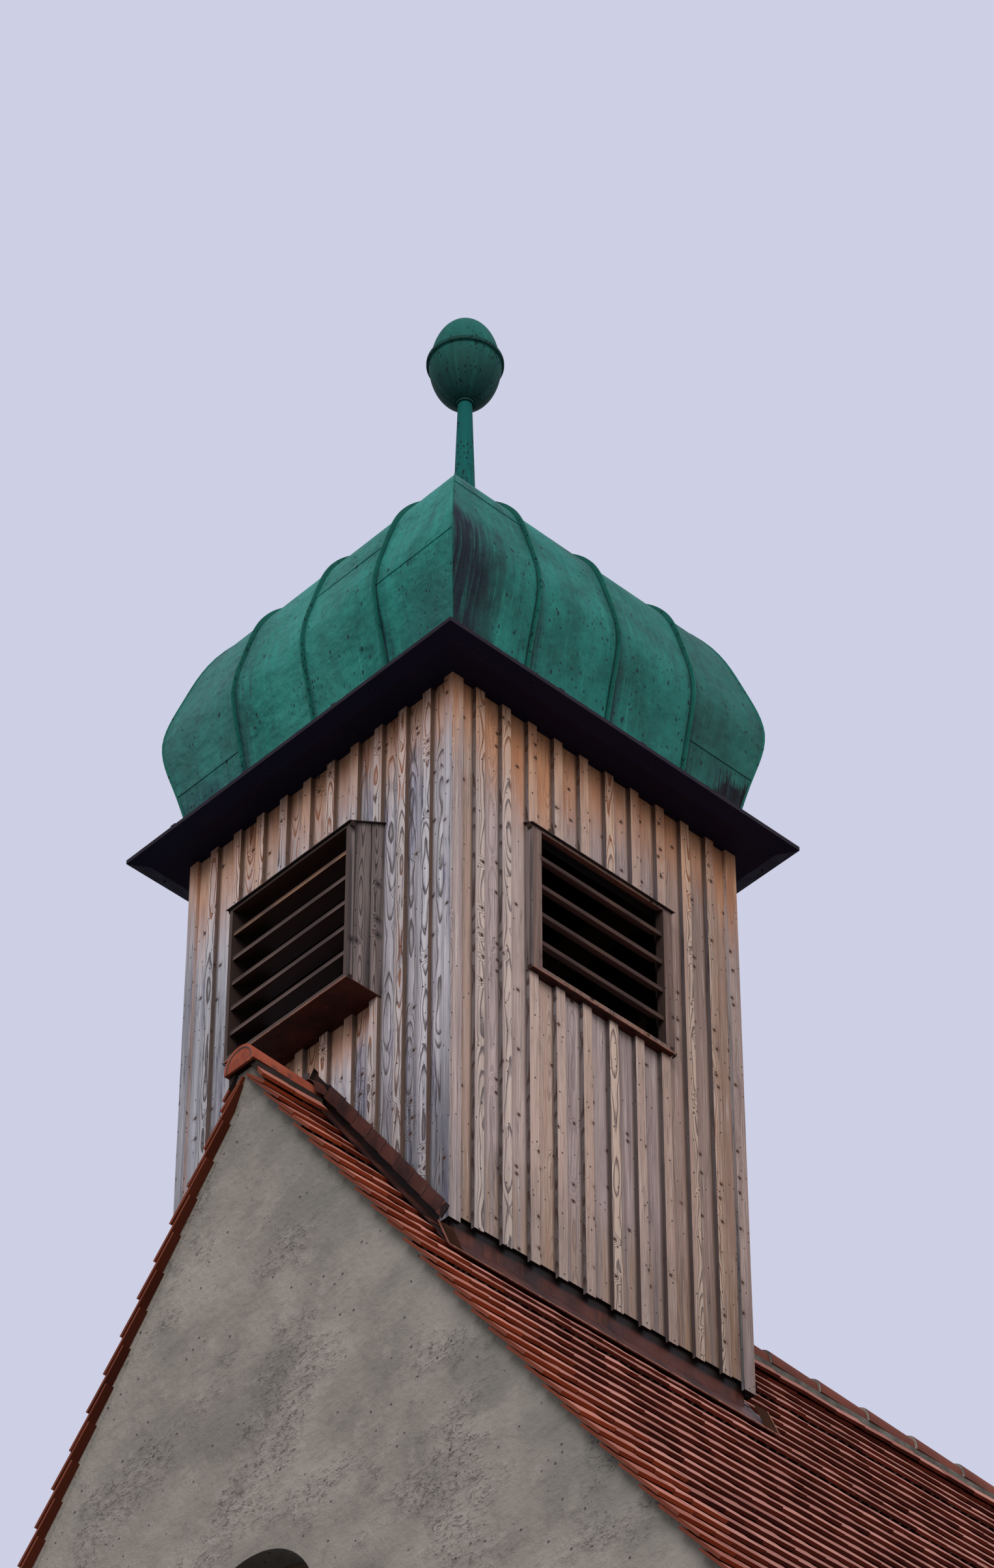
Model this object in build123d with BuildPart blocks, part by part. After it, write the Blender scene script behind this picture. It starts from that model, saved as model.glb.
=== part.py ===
from build123d import *
from math import cos, radians, sin, tan
import os

# A small plastered church with a square timber ridge turret: gable walls, a steep
# tiled roof, a boarded belfry with louvres, and a copper bulb cap with a ball finial.
# The gable faces -Y and the ridge runs along Y. The sizes below are in millimetres, from
# the floor and from the turret's axis, and each finished piece is moved so that the
# origin lies on the floor under the middle of the whole building.

# Nave
ridge_height = 6800.0
roof_pitch = 55.5
wall_thickness = 400.0
eave_half_width = 3035.0
eave_overhang = 245.0
verge_front_y = -1270.0
verge_rear_y = 4250.0
verge_overhang = 53.0
tile_thickness = 50.0
deck_thickness = 130.0
deck_setback = 50.0

# Ridge tiles and their mortar bed
ridge_tile_radius = 95.0
ridge_tile_thickness = 15.0
ridge_tile_overhang = 24.0
ridge_tile_lift = -50.0
ridge_tile_leg = 18.0
ridge_disc_thickness = 16.0
mortar_half_width = 88.0

# Arched window in each gable
window_width = 842.0
window_crown = 4181.0
window_sill = 2995.0
window_offset = 81.0
window_reveal = 140.0
window_frame_width = 58.0
window_frame_depth = 65.0
glass_thickness = 8.0

# Turret shell, with its top given above the ridge
turret_half_width = 890.0
turret_rise = 1917.0
batten_thickness = 20.0
batten_width = 53.0
batten_margin = 170.0
batten_count = 10
gable_batten_drop = 11.0
side_batten_drop = 30.0
corner_board_drop = 50.0
board_thickness = 20.0
lining_thickness = 22.0
corner_board_front = 55.0
corner_board_side = 66.0
post_size = 115.0
plate_height = 115.0
foot_above_tiles_side = 170.0
foot_above_tiles_gable = 170.0

# Deep louvre in the gable sides, with its heights given above the ridge
deep_left = -366.0
deep_right = 431.0
deep_bottom_rise = 306.0
deep_top_rise = 1198.0
deep_reach = 185.0
deep_slats = 5
deep_slat_pitch = 146.0

# Shallow louvre in the eaves sides, in the same way
shallow_left = -429.0
shallow_right = 429.0
shallow_bottom_rise = 441.0
shallow_top_rise = 1271.0
shallow_reach = 28.0
shallow_slats = 4
shallow_slat_pitch = 165.0

# Louvre boards and copper
louvre_board = 20.0
louvre_stile = 53.0
slat_thickness = 18.0
slat_slope = 38.0
slat_setback = 11.0
hood_slope = 29.0
hood_thickness = 5.0
hood_overhang = 13.0
sill_thickness = 5.0

# Eaves of the cap
eaves_depth = 49.0
eave_reach = 1101.0
eave_edge = 23.0
eave_margin = 81.0
soffit_thickness = 18.0
soffit_opening = 777.0

# Cap, given by half widths and heights above its base
neck_half = 903.0
neck_height = 150.0
waist_half = 916.0
waist_height = 253.0
hollow_half = 950.0
hollow_height = 418.0
belly_half = 1000.0
belly_height = 712.0
bulb_half = 939.0
bulb_height = 1008.0
shoulder_half = 831.0
shoulder_height = 1300.0
saddle_half = 453.0
saddle_height = 1640.0
throat_half = 186.0
throat_height = 1854.0
tip_half = 77.0
tip_height = 2137.0
cap_shell_thickness = 36.0
seam_height = 18.0
seam_width = 10.0
gable_seams = (481.0, -11.0, -490.0)
side_seams = (-460.0, 43.0, 530.0)

# Finial
pole_base_radius = 60.0
pole_top_radius = 36.0
ball_height = 3316.0
ball_lower_radius = 183.0
ball_upper_radius = 175.0
ball_half_height = 295.0
band_radius = 196.0
band_thickness = 29.0
ball_seat = 283.0

# Copper flashings at the turret's foot
flashing_thickness = 4.0
gable_flashing_width = 81.0
apron_width = 117.0
tray_length = 105.0

pitch = radians(roof_pitch)
slope = tan(pitch)
tile_drop = tile_thickness / cos(pitch)
deck_drop = deck_thickness / cos(pitch)
deck_top = ridge_height - tile_drop
deck_base = deck_top - deck_drop
wall_half_width = eave_half_width - eave_overhang
wall_front_y = verge_front_y + verge_overhang
wall_rear_y = verge_rear_y - verge_overhang
room_front_y = wall_front_y + wall_thickness
room_rear_y = wall_rear_y - wall_thickness
room_half_width = wall_half_width - wall_thickness
turret_top = ridge_height + turret_rise
cap_base = turret_top + eaves_depth
batten_pitch = 2 * (turret_half_width - batten_margin) / (batten_count - 1)
board_face = turret_half_width - batten_thickness
lining_face = board_face - board_thickness
inner_face = lining_face - lining_thickness
side_foot = ridge_height - turret_half_width * slope + foot_above_tiles_side
ridge_front = verge_front_y - ridge_tile_overhang
ridge_rear = verge_rear_y + ridge_tile_overhang
ball_centre = cap_base + ball_height
tip_z = cap_base + tip_height

SIDES = {
    "front": Plane(origin=(0, 0, 0), x_dir=(1, 0, 0), z_dir=(0, -1, 0)),
    "right": Plane(origin=(0, 0, 0), x_dir=(0, 1, 0), z_dir=(1, 0, 0)),
    "rear": Plane(origin=(0, 0, 0), x_dir=(-1, 0, 0), z_dir=(0, 1, 0)),
    "left": Plane(origin=(0, 0, 0), x_dir=(0, -1, 0), z_dir=(-1, 0, 0)),
}
GABLE_SIDES = ("front", "rear")
EAVES_SIDES = ("right", "left")
# Each gable's outer face, and how far its window stands to the side
GABLES = (("front", -wall_front_y, window_offset), ("rear", wall_rear_y, -window_offset))

os.makedirs("parts", exist_ok=True)


def save(builder, name):
    """Moves a piece to the building's origin, names it and writes its file."""
    piece = builder.part.moved(Location((0, -(ridge_front + ridge_rear) / 2, 0)))
    piece.label = name
    export_step(piece, f"parts/{name}.step")


def roof_z(top, x):
    return top - abs(x) * slope


def block(x0, x1, y0, y1, z0, z1, mode=Mode.ADD):
    """A box given by its corners, for the builder that is open."""
    with BuildSketch(Plane.XY.offset(z0)) as base:
        with Locations(((x0 + x1) / 2, (y0 + y1) / 2)):
            Rectangle(x1 - x0, y1 - y0)
    extrude(base.sketch, amount=z1 - z0, mode=mode)


def panel(plane, outline, near, far, mode=Mode.ADD):
    """A plate with an outline in the side's own width and height, between two depths."""
    with BuildSketch(plane.offset(near)) as face:
        with BuildLine():
            Polyline(*outline, close=True)
        make_face()
    extrude(face.sketch, amount=far - near, mode=mode)


# Walls of the nave

def gable_outline(top):
    return [
        (-wall_half_width, 0),
        (wall_half_width, 0),
        (wall_half_width, roof_z(top, wall_half_width)),
        (0, top),
        (-wall_half_width, roof_z(top, wall_half_width)),
    ]


def arched_face(width, sill, crown, centre):
    """A round-headed outline, for the sketch that is open."""
    radius = width / 2
    spring = crown - radius
    with BuildLine() as arch:
        Polyline(
            (centre - radius, spring),
            (centre - radius, sill),
            (centre + radius, sill),
            (centre + radius, spring),
        )
        ThreePointArc((centre + radius, spring), (centre, crown), (centre - radius, spring))
    make_face(arch.edges())


for side, face_y, inset in GABLES:
    with BuildPart() as gable_wall:
        panel(SIDES[side], gable_outline(deck_top), face_y - wall_thickness, face_y)
        with BuildSketch(SIDES[side].offset(face_y - wall_thickness)):
            arched_face(window_width, window_sill, window_crown, inset)
        extrude(amount=wall_thickness, mode=Mode.SUBTRACT)
    save(gable_wall, f"gable_wall_{side}")

for side, direction in (("left", -1), ("right", 1)):
    inner_x = direction * room_half_width
    outer_x = direction * wall_half_width
    with BuildPart() as side_wall:
        with BuildSketch(Plane.XZ.offset(-room_front_y)):
            with BuildLine():
                Polyline(
                    (inner_x, 0),
                    (outer_x, 0),
                    (outer_x, roof_z(deck_base, outer_x)),
                    (inner_x, roof_z(deck_base, inner_x)),
                    close=True,
                )
            make_face()
        extrude(amount=room_front_y - room_rear_y)
    save(side_wall, f"side_wall_{side}")

# Windows of the gables

frame_face = window_reveal + window_frame_depth
glass_face = window_reveal + (window_frame_depth + glass_thickness) / 2
with BuildPart() as window_frames:
    for side, face_y, inset in GABLES:
        with BuildSketch(SIDES[side].offset(face_y - frame_face)):
            arched_face(window_width, window_sill, window_crown, inset)
        extrude(amount=window_frame_depth)
        with BuildSketch(SIDES[side].offset(face_y - frame_face)):
            arched_face(
                window_width - 2 * window_frame_width,
                window_sill + window_frame_width,
                window_crown - window_frame_width,
                inset,
            )
        extrude(amount=window_frame_depth, mode=Mode.SUBTRACT)
save(window_frames, "window_frames")

with BuildPart() as window_glass:
    for side, face_y, inset in GABLES:
        with BuildSketch(SIDES[side].offset(face_y - glass_face)):
            arched_face(
                window_width - 2 * window_frame_width,
                window_sill + window_frame_width,
                window_crown - window_frame_width,
                inset,
            )
        extrude(amount=glass_thickness)
save(window_glass, "window_glass")

# Roof deck and tile layer, one of each on either side of the ridge

for side, direction in (("left", -1), ("right", 1)):
    eave_x = direction * eave_half_width
    tile_toe = direction * (eave_half_width - tile_thickness * sin(pitch))
    deck_eave = direction * (eave_half_width - deck_setback - tile_thickness * sin(pitch))
    deck_toe = direction * (eave_half_width - deck_setback - (tile_thickness + deck_thickness) * sin(pitch))
    outer_x = direction * wall_half_width

    with BuildPart() as deck:
        with BuildSketch(Plane.XZ.offset(-room_front_y)):
            with BuildLine():
                Polyline(
                    (0, deck_top),
                    (deck_eave, roof_z(deck_top, deck_eave)),
                    (deck_toe, roof_z(deck_base, deck_toe)),
                    (0, deck_base),
                    close=True,
                )
            make_face()
        extrude(amount=room_front_y - room_rear_y)
        with BuildSketch(Plane.XZ.offset(-wall_front_y)):
            with BuildLine():
                Polyline(
                    (outer_x, roof_z(deck_top, outer_x)),
                    (deck_eave, roof_z(deck_top, deck_eave)),
                    (deck_toe, roof_z(deck_base, deck_toe)),
                    (outer_x, roof_z(deck_base, outer_x)),
                    close=True,
                )
            make_face()
        extrude(amount=wall_front_y - wall_rear_y)
        block(
            -inner_face + post_size,
            inner_face - post_size,
            -inner_face + post_size,
            inner_face - post_size,
            0,
            ridge_height,
            mode=Mode.SUBTRACT,
        )
    save(deck, f"roof_deck_{side}")

    with BuildPart() as tiles:
        with BuildSketch(Plane.XZ.offset(-verge_front_y)):
            with BuildLine():
                Polyline(
                    (0, ridge_height),
                    (eave_x, roof_z(ridge_height, eave_x)),
                    (tile_toe, roof_z(deck_top, tile_toe)),
                    (0, deck_top),
                    close=True,
                )
            make_face()
        extrude(amount=verge_front_y - verge_rear_y)
        block(-lining_face, lining_face, -lining_face, lining_face, 0, ridge_height, mode=Mode.SUBTRACT)
    save(tiles, f"tiles_{side}")

# Ridge tiles in front of and behind the turret, on a bed of mortar

ridge_axis = ridge_height + ridge_tile_lift
ridge_foot = ridge_axis - ridge_tile_leg
ridge_runs = (
    (ridge_front, -turret_half_width, ridge_front),
    (turret_half_width, ridge_rear, ridge_rear - ridge_disc_thickness),
)


def ridge_arch(radius, mode=Mode.ADD):
    """A half round on short upright legs."""
    with BuildLine() as outline:
        ThreePointArc((radius, ridge_axis), (0, ridge_axis + radius), (-radius, ridge_axis))
        Polyline((-radius, ridge_axis), (-radius, ridge_foot), (radius, ridge_foot), (radius, ridge_axis))
    make_face(outline.edges(), mode=mode)


with BuildPart() as ridge_tiles:
    for start, end, disc in ridge_runs:
        with BuildSketch(Plane.XZ.offset(-start)):
            ridge_arch(ridge_tile_radius)
            ridge_arch(ridge_tile_radius - ridge_tile_thickness, mode=Mode.SUBTRACT)
        extrude(amount=start - end)
        with BuildSketch(Plane.XZ.offset(-disc)):
            ridge_arch(ridge_tile_radius)
        extrude(amount=-ridge_disc_thickness)
save(ridge_tiles, "ridge_tiles")

mortar_inner = (ridge_height - ridge_foot) / slope
with BuildPart() as ridge_mortar:
    for start, end in ((verge_front_y, -turret_half_width), (turret_half_width, verge_rear_y)):
        for hand in (-1, 1):
            with BuildSketch(Plane.XZ.offset(-start)):
                with BuildLine():
                    Polyline(
                        (hand * mortar_inner, ridge_foot),
                        (hand * mortar_half_width, roof_z(ridge_height, mortar_half_width)),
                        (hand * mortar_half_width, ridge_foot),
                        close=True,
                    )
                make_face()
            extrude(amount=start - end)
save(ridge_mortar, "ridge_mortar")


# Turret: boarded walls, battens, corner boards, posts and the plate on them

def louvre(side):
    """Left, right, bottom, front top, reach, slat count and pitch of a side's louvre."""
    if side in GABLE_SIDES:
        return (
            deep_left,
            deep_right,
            ridge_height + deep_bottom_rise,
            ridge_height + deep_top_rise,
            deep_reach,
            deep_slats,
            deep_slat_pitch,
        )
    return (
        shallow_left,
        shallow_right,
        ridge_height + shallow_bottom_rise,
        ridge_height + shallow_top_rise,
        shallow_reach,
        shallow_slats,
        shallow_slat_pitch,
    )


def louvre_front(side):
    return turret_half_width + louvre(side)[4]


def hood_z(side, depth):
    """Height of the louvre box's sloping top at a depth from the turret's axis."""
    return louvre(side)[3] + (louvre_front(side) - depth) * tan(radians(hood_slope))


def foot_outline(side, half, top, drop=0.0):
    """A wall outline from a half width, cut along the roof on the gable sides."""
    if side in GABLE_SIDES:
        foot = ridge_height + foot_above_tiles_gable - drop
        corner = roof_z(foot, half)
        return [(-half, corner), (0, foot), (half, corner), (half, top), (-half, top)]
    return [(-half, side_foot - drop), (half, side_foot - drop), (half, top), (-half, top)]


def cut_roof_space():
    """Takes away what lies under the roof deck's top, in the part that is open."""
    reach = 2 * turret_half_width
    with BuildSketch(Plane.XZ) as under_deck:
        with BuildLine():
            Polyline(
                (-reach, 0),
                (reach, 0),
                (reach, roof_z(deck_top, reach)),
                (0, deck_top),
                (-reach, roof_z(deck_top, reach)),
                close=True,
            )
        make_face()
    extrude(under_deck.sketch, amount=reach, both=True, mode=Mode.SUBTRACT)


lining_base = roof_z(deck_top, lining_face)
for side, plane in SIDES.items():
    left, right, bottom = louvre(side)[:3]
    board_half = board_face if side in GABLE_SIDES else lining_face
    lining_half = lining_face if side in GABLE_SIDES else inner_face
    with BuildPart() as turret_wall:
        lining = [
            (-lining_half, lining_base),
            (lining_half, lining_base),
            (lining_half, turret_top),
            (-lining_half, turret_top),
        ]
        panel(plane, lining, inner_face, lining_face)
        cut_roof_space()
        panel(plane, foot_outline(side, board_half, turret_top), lining_face, board_face)
        window = [
            (left + louvre_board, bottom + louvre_board),
            (right - louvre_board, bottom + louvre_board),
            (right - louvre_board, hood_z(side, board_face) - louvre_board),
            (left + louvre_board, hood_z(side, board_face) - louvre_board),
        ]
        panel(plane, window, inner_face, board_face, mode=Mode.SUBTRACT)
    save(turret_wall, f"turret_wall_{side}")

    with BuildPart() as battens:
        drop = gable_batten_drop if side in GABLE_SIDES else side_batten_drop
        panel(plane, foot_outline(side, board_face, turret_top, drop), board_face, turret_half_width)
        bay = batten_pitch - batten_width
        for index in range(batten_count - 1):
            centre = (index - (batten_count - 2) / 2) * batten_pitch
            gap = [
                (centre - bay / 2, lining_base),
                (centre + bay / 2, lining_base),
                (centre + bay / 2, cap_base),
                (centre - bay / 2, cap_base),
            ]
            panel(plane, gap, board_face, turret_half_width, mode=Mode.SUBTRACT)
        last = (batten_count - 1) / 2 * batten_pitch + batten_width / 2
        for edge in (-1, 1):
            rest = [
                (edge * last, lining_base),
                (edge * turret_half_width, lining_base),
                (edge * turret_half_width, cap_base),
                (edge * last, cap_base),
            ]
            panel(plane, rest, board_face, turret_half_width, mode=Mode.SUBTRACT)
        clear = [
            (left - hood_overhang, bottom - sill_thickness),
            (right + hood_overhang, bottom - sill_thickness),
            (right + hood_overhang, hood_z(side, board_face) + hood_thickness),
            (left - hood_overhang, hood_z(side, board_face) + hood_thickness),
        ]
        panel(plane, clear, board_face, turret_half_width, mode=Mode.SUBTRACT)
    save(battens, f"battens_{side}")

with BuildPart() as corner_boards:
    for right_hand in (-1, 1):
        for rear in (-1, 1):
            outer = (right_hand * turret_half_width, rear * turret_half_width)
            with BuildSketch(Plane.XY.offset(side_foot - corner_board_drop)):
                with BuildLine():
                    Polyline(
                        outer,
                        (right_hand * (turret_half_width - corner_board_front), rear * turret_half_width),
                        (right_hand * (turret_half_width - corner_board_front), rear * board_face),
                        (right_hand * board_face, rear * board_face),
                        (right_hand * board_face, rear * (turret_half_width - corner_board_side)),
                        (right_hand * turret_half_width, rear * (turret_half_width - corner_board_side)),
                        close=True,
                    )
                make_face()
            extrude(amount=turret_top - side_foot + corner_board_drop)
save(corner_boards, "corner_boards")

with BuildPart() as corner_posts:
    for x in (-inner_face, inner_face - post_size):
        for y in (-inner_face, inner_face - post_size):
            block(x, x + post_size, y, y + post_size, lining_base, turret_top - plate_height)
    cut_roof_space()
save(corner_posts, "corner_posts")

with BuildPart() as top_plate:
    block(-inner_face, inner_face, -inner_face, inner_face, turret_top - plate_height, turret_top)
    block(
        -inner_face + post_size,
        inner_face - post_size,
        -inner_face + post_size,
        inner_face - post_size,
        turret_top - plate_height,
        turret_top,
        mode=Mode.SUBTRACT,
    )
save(top_plate, "top_plate")


# Louvres: a box of boards, slats between its sides, a copper hood and sill

def depth_profile(side, outline, start, end, mode=Mode.ADD):
    """Extrudes a depth and height outline across the side's width, from start to end."""
    plane = SIDES[side]
    corner = plane.from_local_coords(Vector(start, 0, 0))
    across = Plane(origin=corner, x_dir=plane.z_dir, z_dir=-plane.x_dir)
    with BuildSketch(across) as profile:
        with BuildLine():
            Polyline(*outline, close=True)
        make_face()
    extrude(profile.sketch, amount=start - end, mode=mode)


def box_outline(side):
    bottom = louvre(side)[2]
    front = louvre_front(side)
    return [
        (board_face, bottom),
        (front, bottom),
        (front, hood_z(side, front)),
        (board_face, hood_z(side, board_face)),
    ]


for side in SIDES:
    left, right, bottom = louvre(side)[:3]
    slats, slat_pitch = louvre(side)[5:]
    front = louvre_front(side)
    stile = louvre_board if side in GABLE_SIDES else louvre_stile
    with BuildPart() as louvre_box:
        depth_profile(side, box_outline(side), left, right)
        throat = [
            (board_face, bottom + louvre_board),
            (front, bottom + louvre_board),
            (front, hood_z(side, front) - louvre_board),
            (board_face, hood_z(side, board_face) - louvre_board),
        ]
        depth_profile(side, throat, left + stile, right - stile, mode=Mode.SUBTRACT)
    save(louvre_box, f"louvre_box_{side}")

    rise = sin(radians(slat_slope))
    run = cos(radians(slat_slope))
    nose = front - slat_setback
    length = (nose - board_face) / run if side in GABLE_SIDES else (nose - inner_face) / run
    with BuildPart() as louvre_slats:
        for index in range(slats):
            z = bottom + (index + 1) * slat_pitch
            blade = [
                (nose, z),
                (nose, z + slat_thickness / run),
                (nose - length * run, z + slat_thickness / run + length * rise),
                (nose - length * run, z + length * rise),
            ]
            depth_profile(side, blade, left + stile, right - stile)
    save(louvre_slats, f"louvre_slats_{side}")

with BuildPart() as louvre_hoods:
    for side in SIDES:
        left, right = louvre(side)[:2]
        nose = louvre_front(side) + hood_overhang
        hood = [
            (board_face, hood_z(side, board_face)),
            (nose, hood_z(side, nose)),
            (nose, hood_z(side, nose) + hood_thickness),
            (board_face, hood_z(side, board_face) + hood_thickness),
        ]
        depth_profile(side, hood, left - hood_overhang, right + hood_overhang)
save(louvre_hoods, "louvre_hoods")

with BuildPart() as louvre_sills:
    for side in SIDES:
        left, right, bottom = louvre(side)[:3]
        front = louvre_front(side)
        sill = [
            (board_face, bottom),
            (front, bottom),
            (front, bottom - sill_thickness),
            (board_face, bottom - sill_thickness),
        ]
        depth_profile(side, sill, left, right)
save(louvre_sills, "louvre_sills")

# Eaves of the cap: a soffit and a tapered edge with a thin outer lip

margin_half = eave_reach - eave_margin
with BuildPart() as soffit:
    block(-margin_half, margin_half, -margin_half, margin_half, turret_top, turret_top + soffit_thickness)
    block(
        -soffit_opening,
        soffit_opening,
        -soffit_opening,
        soffit_opening,
        turret_top,
        turret_top + soffit_thickness,
        mode=Mode.SUBTRACT,
    )
save(soffit, "soffit")

lip_base = cap_base - eave_edge
with BuildPart() as eaves_edge:
    with BuildSketch(Plane.XY.offset(turret_top)):
        Rectangle(2 * margin_half, 2 * margin_half)
    with BuildSketch(Plane.XY.offset(lip_base)):
        Rectangle(2 * eave_reach, 2 * eave_reach)
    loft()
    block(-eave_reach, eave_reach, -eave_reach, eave_reach, lip_base, cap_base)
    block(-margin_half, margin_half, -margin_half, margin_half, turret_top, cap_base, mode=Mode.SUBTRACT)
save(eaves_edge, "eaves_edge")


# Copper cap: the same bell profile along both axes, met at the hips

def bell(inset):
    """Right half of the cap's profile, moved in by a wall or out by a seam."""
    with BuildLine() as outline:
        flare = Spline(
            (eave_reach - inset, cap_base),
            (neck_half - inset, cap_base + neck_height),
            (waist_half - inset, cap_base + waist_height),
            (hollow_half - inset, cap_base + hollow_height),
            (belly_half - inset, cap_base + belly_height),
            (bulb_half - inset, cap_base + bulb_height),
            (shoulder_half - inset, cap_base + shoulder_height - inset / 2),
            (saddle_half - inset, cap_base + saddle_height - inset / 2),
            (throat_half - inset / 2, cap_base + throat_height - inset),
            (tip_half - inset, tip_z),
        )
        Polyline(flare @ 1, (0, tip_z), (0, cap_base), flare @ 0)
    make_face(outline.edges())


def bulb(inset, mode=Mode.ADD):
    """The four-sided bulb that the profile gives, for the part that is open."""
    with BuildPart(mode=Mode.PRIVATE) as along:
        with BuildSketch(Plane.XZ):
            bell(inset)
            mirror(about=Plane.YZ)
        extrude(amount=2 * eave_reach, both=True)
        with BuildSketch(Plane.YZ):
            bell(inset)
            mirror(about=Plane.YZ)
        extrude(amount=2 * eave_reach, both=True, mode=Mode.INTERSECT)
    add(along.part, mode=mode)


with BuildPart() as cap_shell:
    bulb(0)
    bulb(cap_shell_thickness, mode=Mode.SUBTRACT)

for name, other_sides in (("cap_gable_sides", EAVES_SIDES), ("cap_eaves_sides", GABLE_SIDES)):
    with BuildPart() as cap_sides:
        add(cap_shell.part)
        for side in other_sides:
            outward = SIDES[side].z_dir * eave_reach
            across = SIDES[side].x_dir * eave_reach
            near, far = outward - across, outward + across
            with BuildSketch(Plane.XY.offset(cap_base)) as wedge:
                with BuildLine():
                    Polyline((0, 0), (near.X, near.Y), (far.X, far.Y), close=True)
                make_face()
            extrude(wedge.sketch, amount=tip_height, mode=Mode.SUBTRACT)
    save(cap_sides, name)

with BuildPart() as standing_seams:
    for side, plane in SIDES.items():
        for place in gable_seams if side in GABLE_SIDES else side_seams:
            strip = [
                (place - seam_width / 2, cap_base),
                (place + seam_width / 2, cap_base),
                (place + seam_width / 2, tip_z),
                (place - seam_width / 2, tip_z),
            ]
            panel(plane, strip, abs(place), eave_reach)
    bulb(-seam_height, mode=Mode.INTERSECT)
    bulb(0, mode=Mode.SUBTRACT)
save(standing_seams, "standing_seams")

# Finial: a tapered pole and a ball of two halves on an equatorial band

seat_z = ball_centre - ball_seat
with BuildPart() as finial_pole:
    with BuildSketch(Plane.XY.offset(tip_z)):
        Circle(pole_base_radius)
    with BuildSketch(Plane.XY.offset(seat_z)):
        Circle(pole_top_radius)
    loft()
save(finial_pole, "finial_pole")

ball_halves = (("finial_ball_lower", -1, ball_lower_radius), ("finial_ball_upper", 1, ball_upper_radius))
for name, direction, ball_radius in ball_halves:
    with BuildPart() as half_ball:
        with BuildSketch(Plane.XZ):
            with Locations((0, ball_centre)):
                Ellipse(ball_radius, ball_half_height)
            with Locations((-ball_radius, ball_centre)):
                Rectangle(2 * ball_radius, 3 * ball_half_height, mode=Mode.SUBTRACT)
            low = seat_z if direction < 0 else ball_centre + band_thickness / 2
            high = ball_centre - band_thickness / 2 if direction < 0 else ball_centre + ball_half_height
            with Locations((ball_radius / 2, (low + high) / 2)):
                Rectangle(ball_radius, high - low, mode=Mode.INTERSECT)
        revolve(axis=Axis.Z)
    save(half_ball, name)

with BuildPart() as finial_band:
    with BuildSketch(Plane.XY.offset(ball_centre - band_thickness / 2)):
        Circle(band_radius)
    extrude(amount=band_thickness)
    fillet(finial_band.edges().filter_by(GeomType.CIRCLE), radius=band_thickness / 4)
save(finial_band, "finial_band")

# Copper flashings where the turret stands on the tiles

with BuildPart() as gable_flashings:
    for side in GABLE_SIDES:
        plane = SIDES[side]
        half = turret_half_width
        near = lining_face
        far = lining_face + gable_flashing_width
        crest = ridge_height + foot_above_tiles_gable
        corner = lining_face + flashing_thickness
        upstand = [
            (-corner, roof_z(ridge_height, corner)),
            (0, ridge_height),
            (corner, roof_z(ridge_height, corner)),
            (corner, roof_z(crest, corner)),
            (0, crest),
            (-corner, roof_z(crest, corner)),
        ]
        panel(plane, upstand, near, near + flashing_thickness)
        lift = flashing_thickness / cos(pitch)
        leaf = mortar_half_width
        for hand in (-1, 1):
            sheet = [
                (hand * leaf, roof_z(ridge_height, leaf)),
                (hand * half, roof_z(ridge_height, half)),
                (hand * half, roof_z(ridge_height + lift, half)),
                (hand * leaf, roof_z(ridge_height + lift, leaf)),
            ]
            panel(plane, sheet, near, far)
save(gable_flashings, "gable_flashings")

with BuildPart() as aprons:
    for side in EAVES_SIDES:
        start = -lining_face
        end = lining_face
        edge = lining_face + apron_width
        lift = flashing_thickness / cos(pitch)
        upstand = [
            (lining_face, roof_z(ridge_height, lining_face)),
            (lining_face + flashing_thickness, roof_z(ridge_height, lining_face + flashing_thickness)),
            (lining_face + flashing_thickness, side_foot),
            (lining_face, side_foot),
        ]
        depth_profile(side, upstand, start, end)
        sheet = [
            (lining_face, roof_z(ridge_height, lining_face)),
            (edge, roof_z(ridge_height, edge)),
            (edge, roof_z(ridge_height + lift, edge)),
            (lining_face, roof_z(ridge_height + lift, lining_face)),
        ]
        depth_profile(side, sheet, start, end)
        tray = [
            (turret_half_width, roof_z(ridge_height, turret_half_width)),
            (edge, roof_z(ridge_height, edge)),
            (edge, roof_z(ridge_height + lift, edge)),
            (turret_half_width, roof_z(ridge_height + lift, turret_half_width)),
        ]
        depth_profile(side, tray, start - tray_length, end + tray_length)
save(aprons, "aprons")
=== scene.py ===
import math
import random

import bmesh
import bpy
from mathutils import Euler, Matrix, Vector
from mathutils.bvhtree import BVHTree


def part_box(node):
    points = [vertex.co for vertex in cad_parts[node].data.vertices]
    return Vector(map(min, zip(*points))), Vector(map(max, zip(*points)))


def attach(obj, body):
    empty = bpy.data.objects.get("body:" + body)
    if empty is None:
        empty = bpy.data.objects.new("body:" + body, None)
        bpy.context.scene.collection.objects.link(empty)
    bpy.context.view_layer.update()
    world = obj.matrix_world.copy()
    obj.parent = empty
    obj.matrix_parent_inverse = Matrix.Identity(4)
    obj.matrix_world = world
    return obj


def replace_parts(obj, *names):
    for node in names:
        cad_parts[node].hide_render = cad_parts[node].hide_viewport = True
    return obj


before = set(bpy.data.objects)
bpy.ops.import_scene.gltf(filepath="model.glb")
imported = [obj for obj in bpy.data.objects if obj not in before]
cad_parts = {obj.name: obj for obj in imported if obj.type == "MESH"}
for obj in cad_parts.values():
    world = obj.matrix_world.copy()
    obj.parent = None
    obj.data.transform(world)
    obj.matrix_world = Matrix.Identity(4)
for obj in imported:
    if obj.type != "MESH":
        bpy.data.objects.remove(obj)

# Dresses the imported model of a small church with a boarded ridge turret: finishes for
# every node, plain tiles and ridge tiles in place of the plain slabs, and the seams,
# nails, clips, folds and flashing sheets that are too small for the solids.

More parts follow.
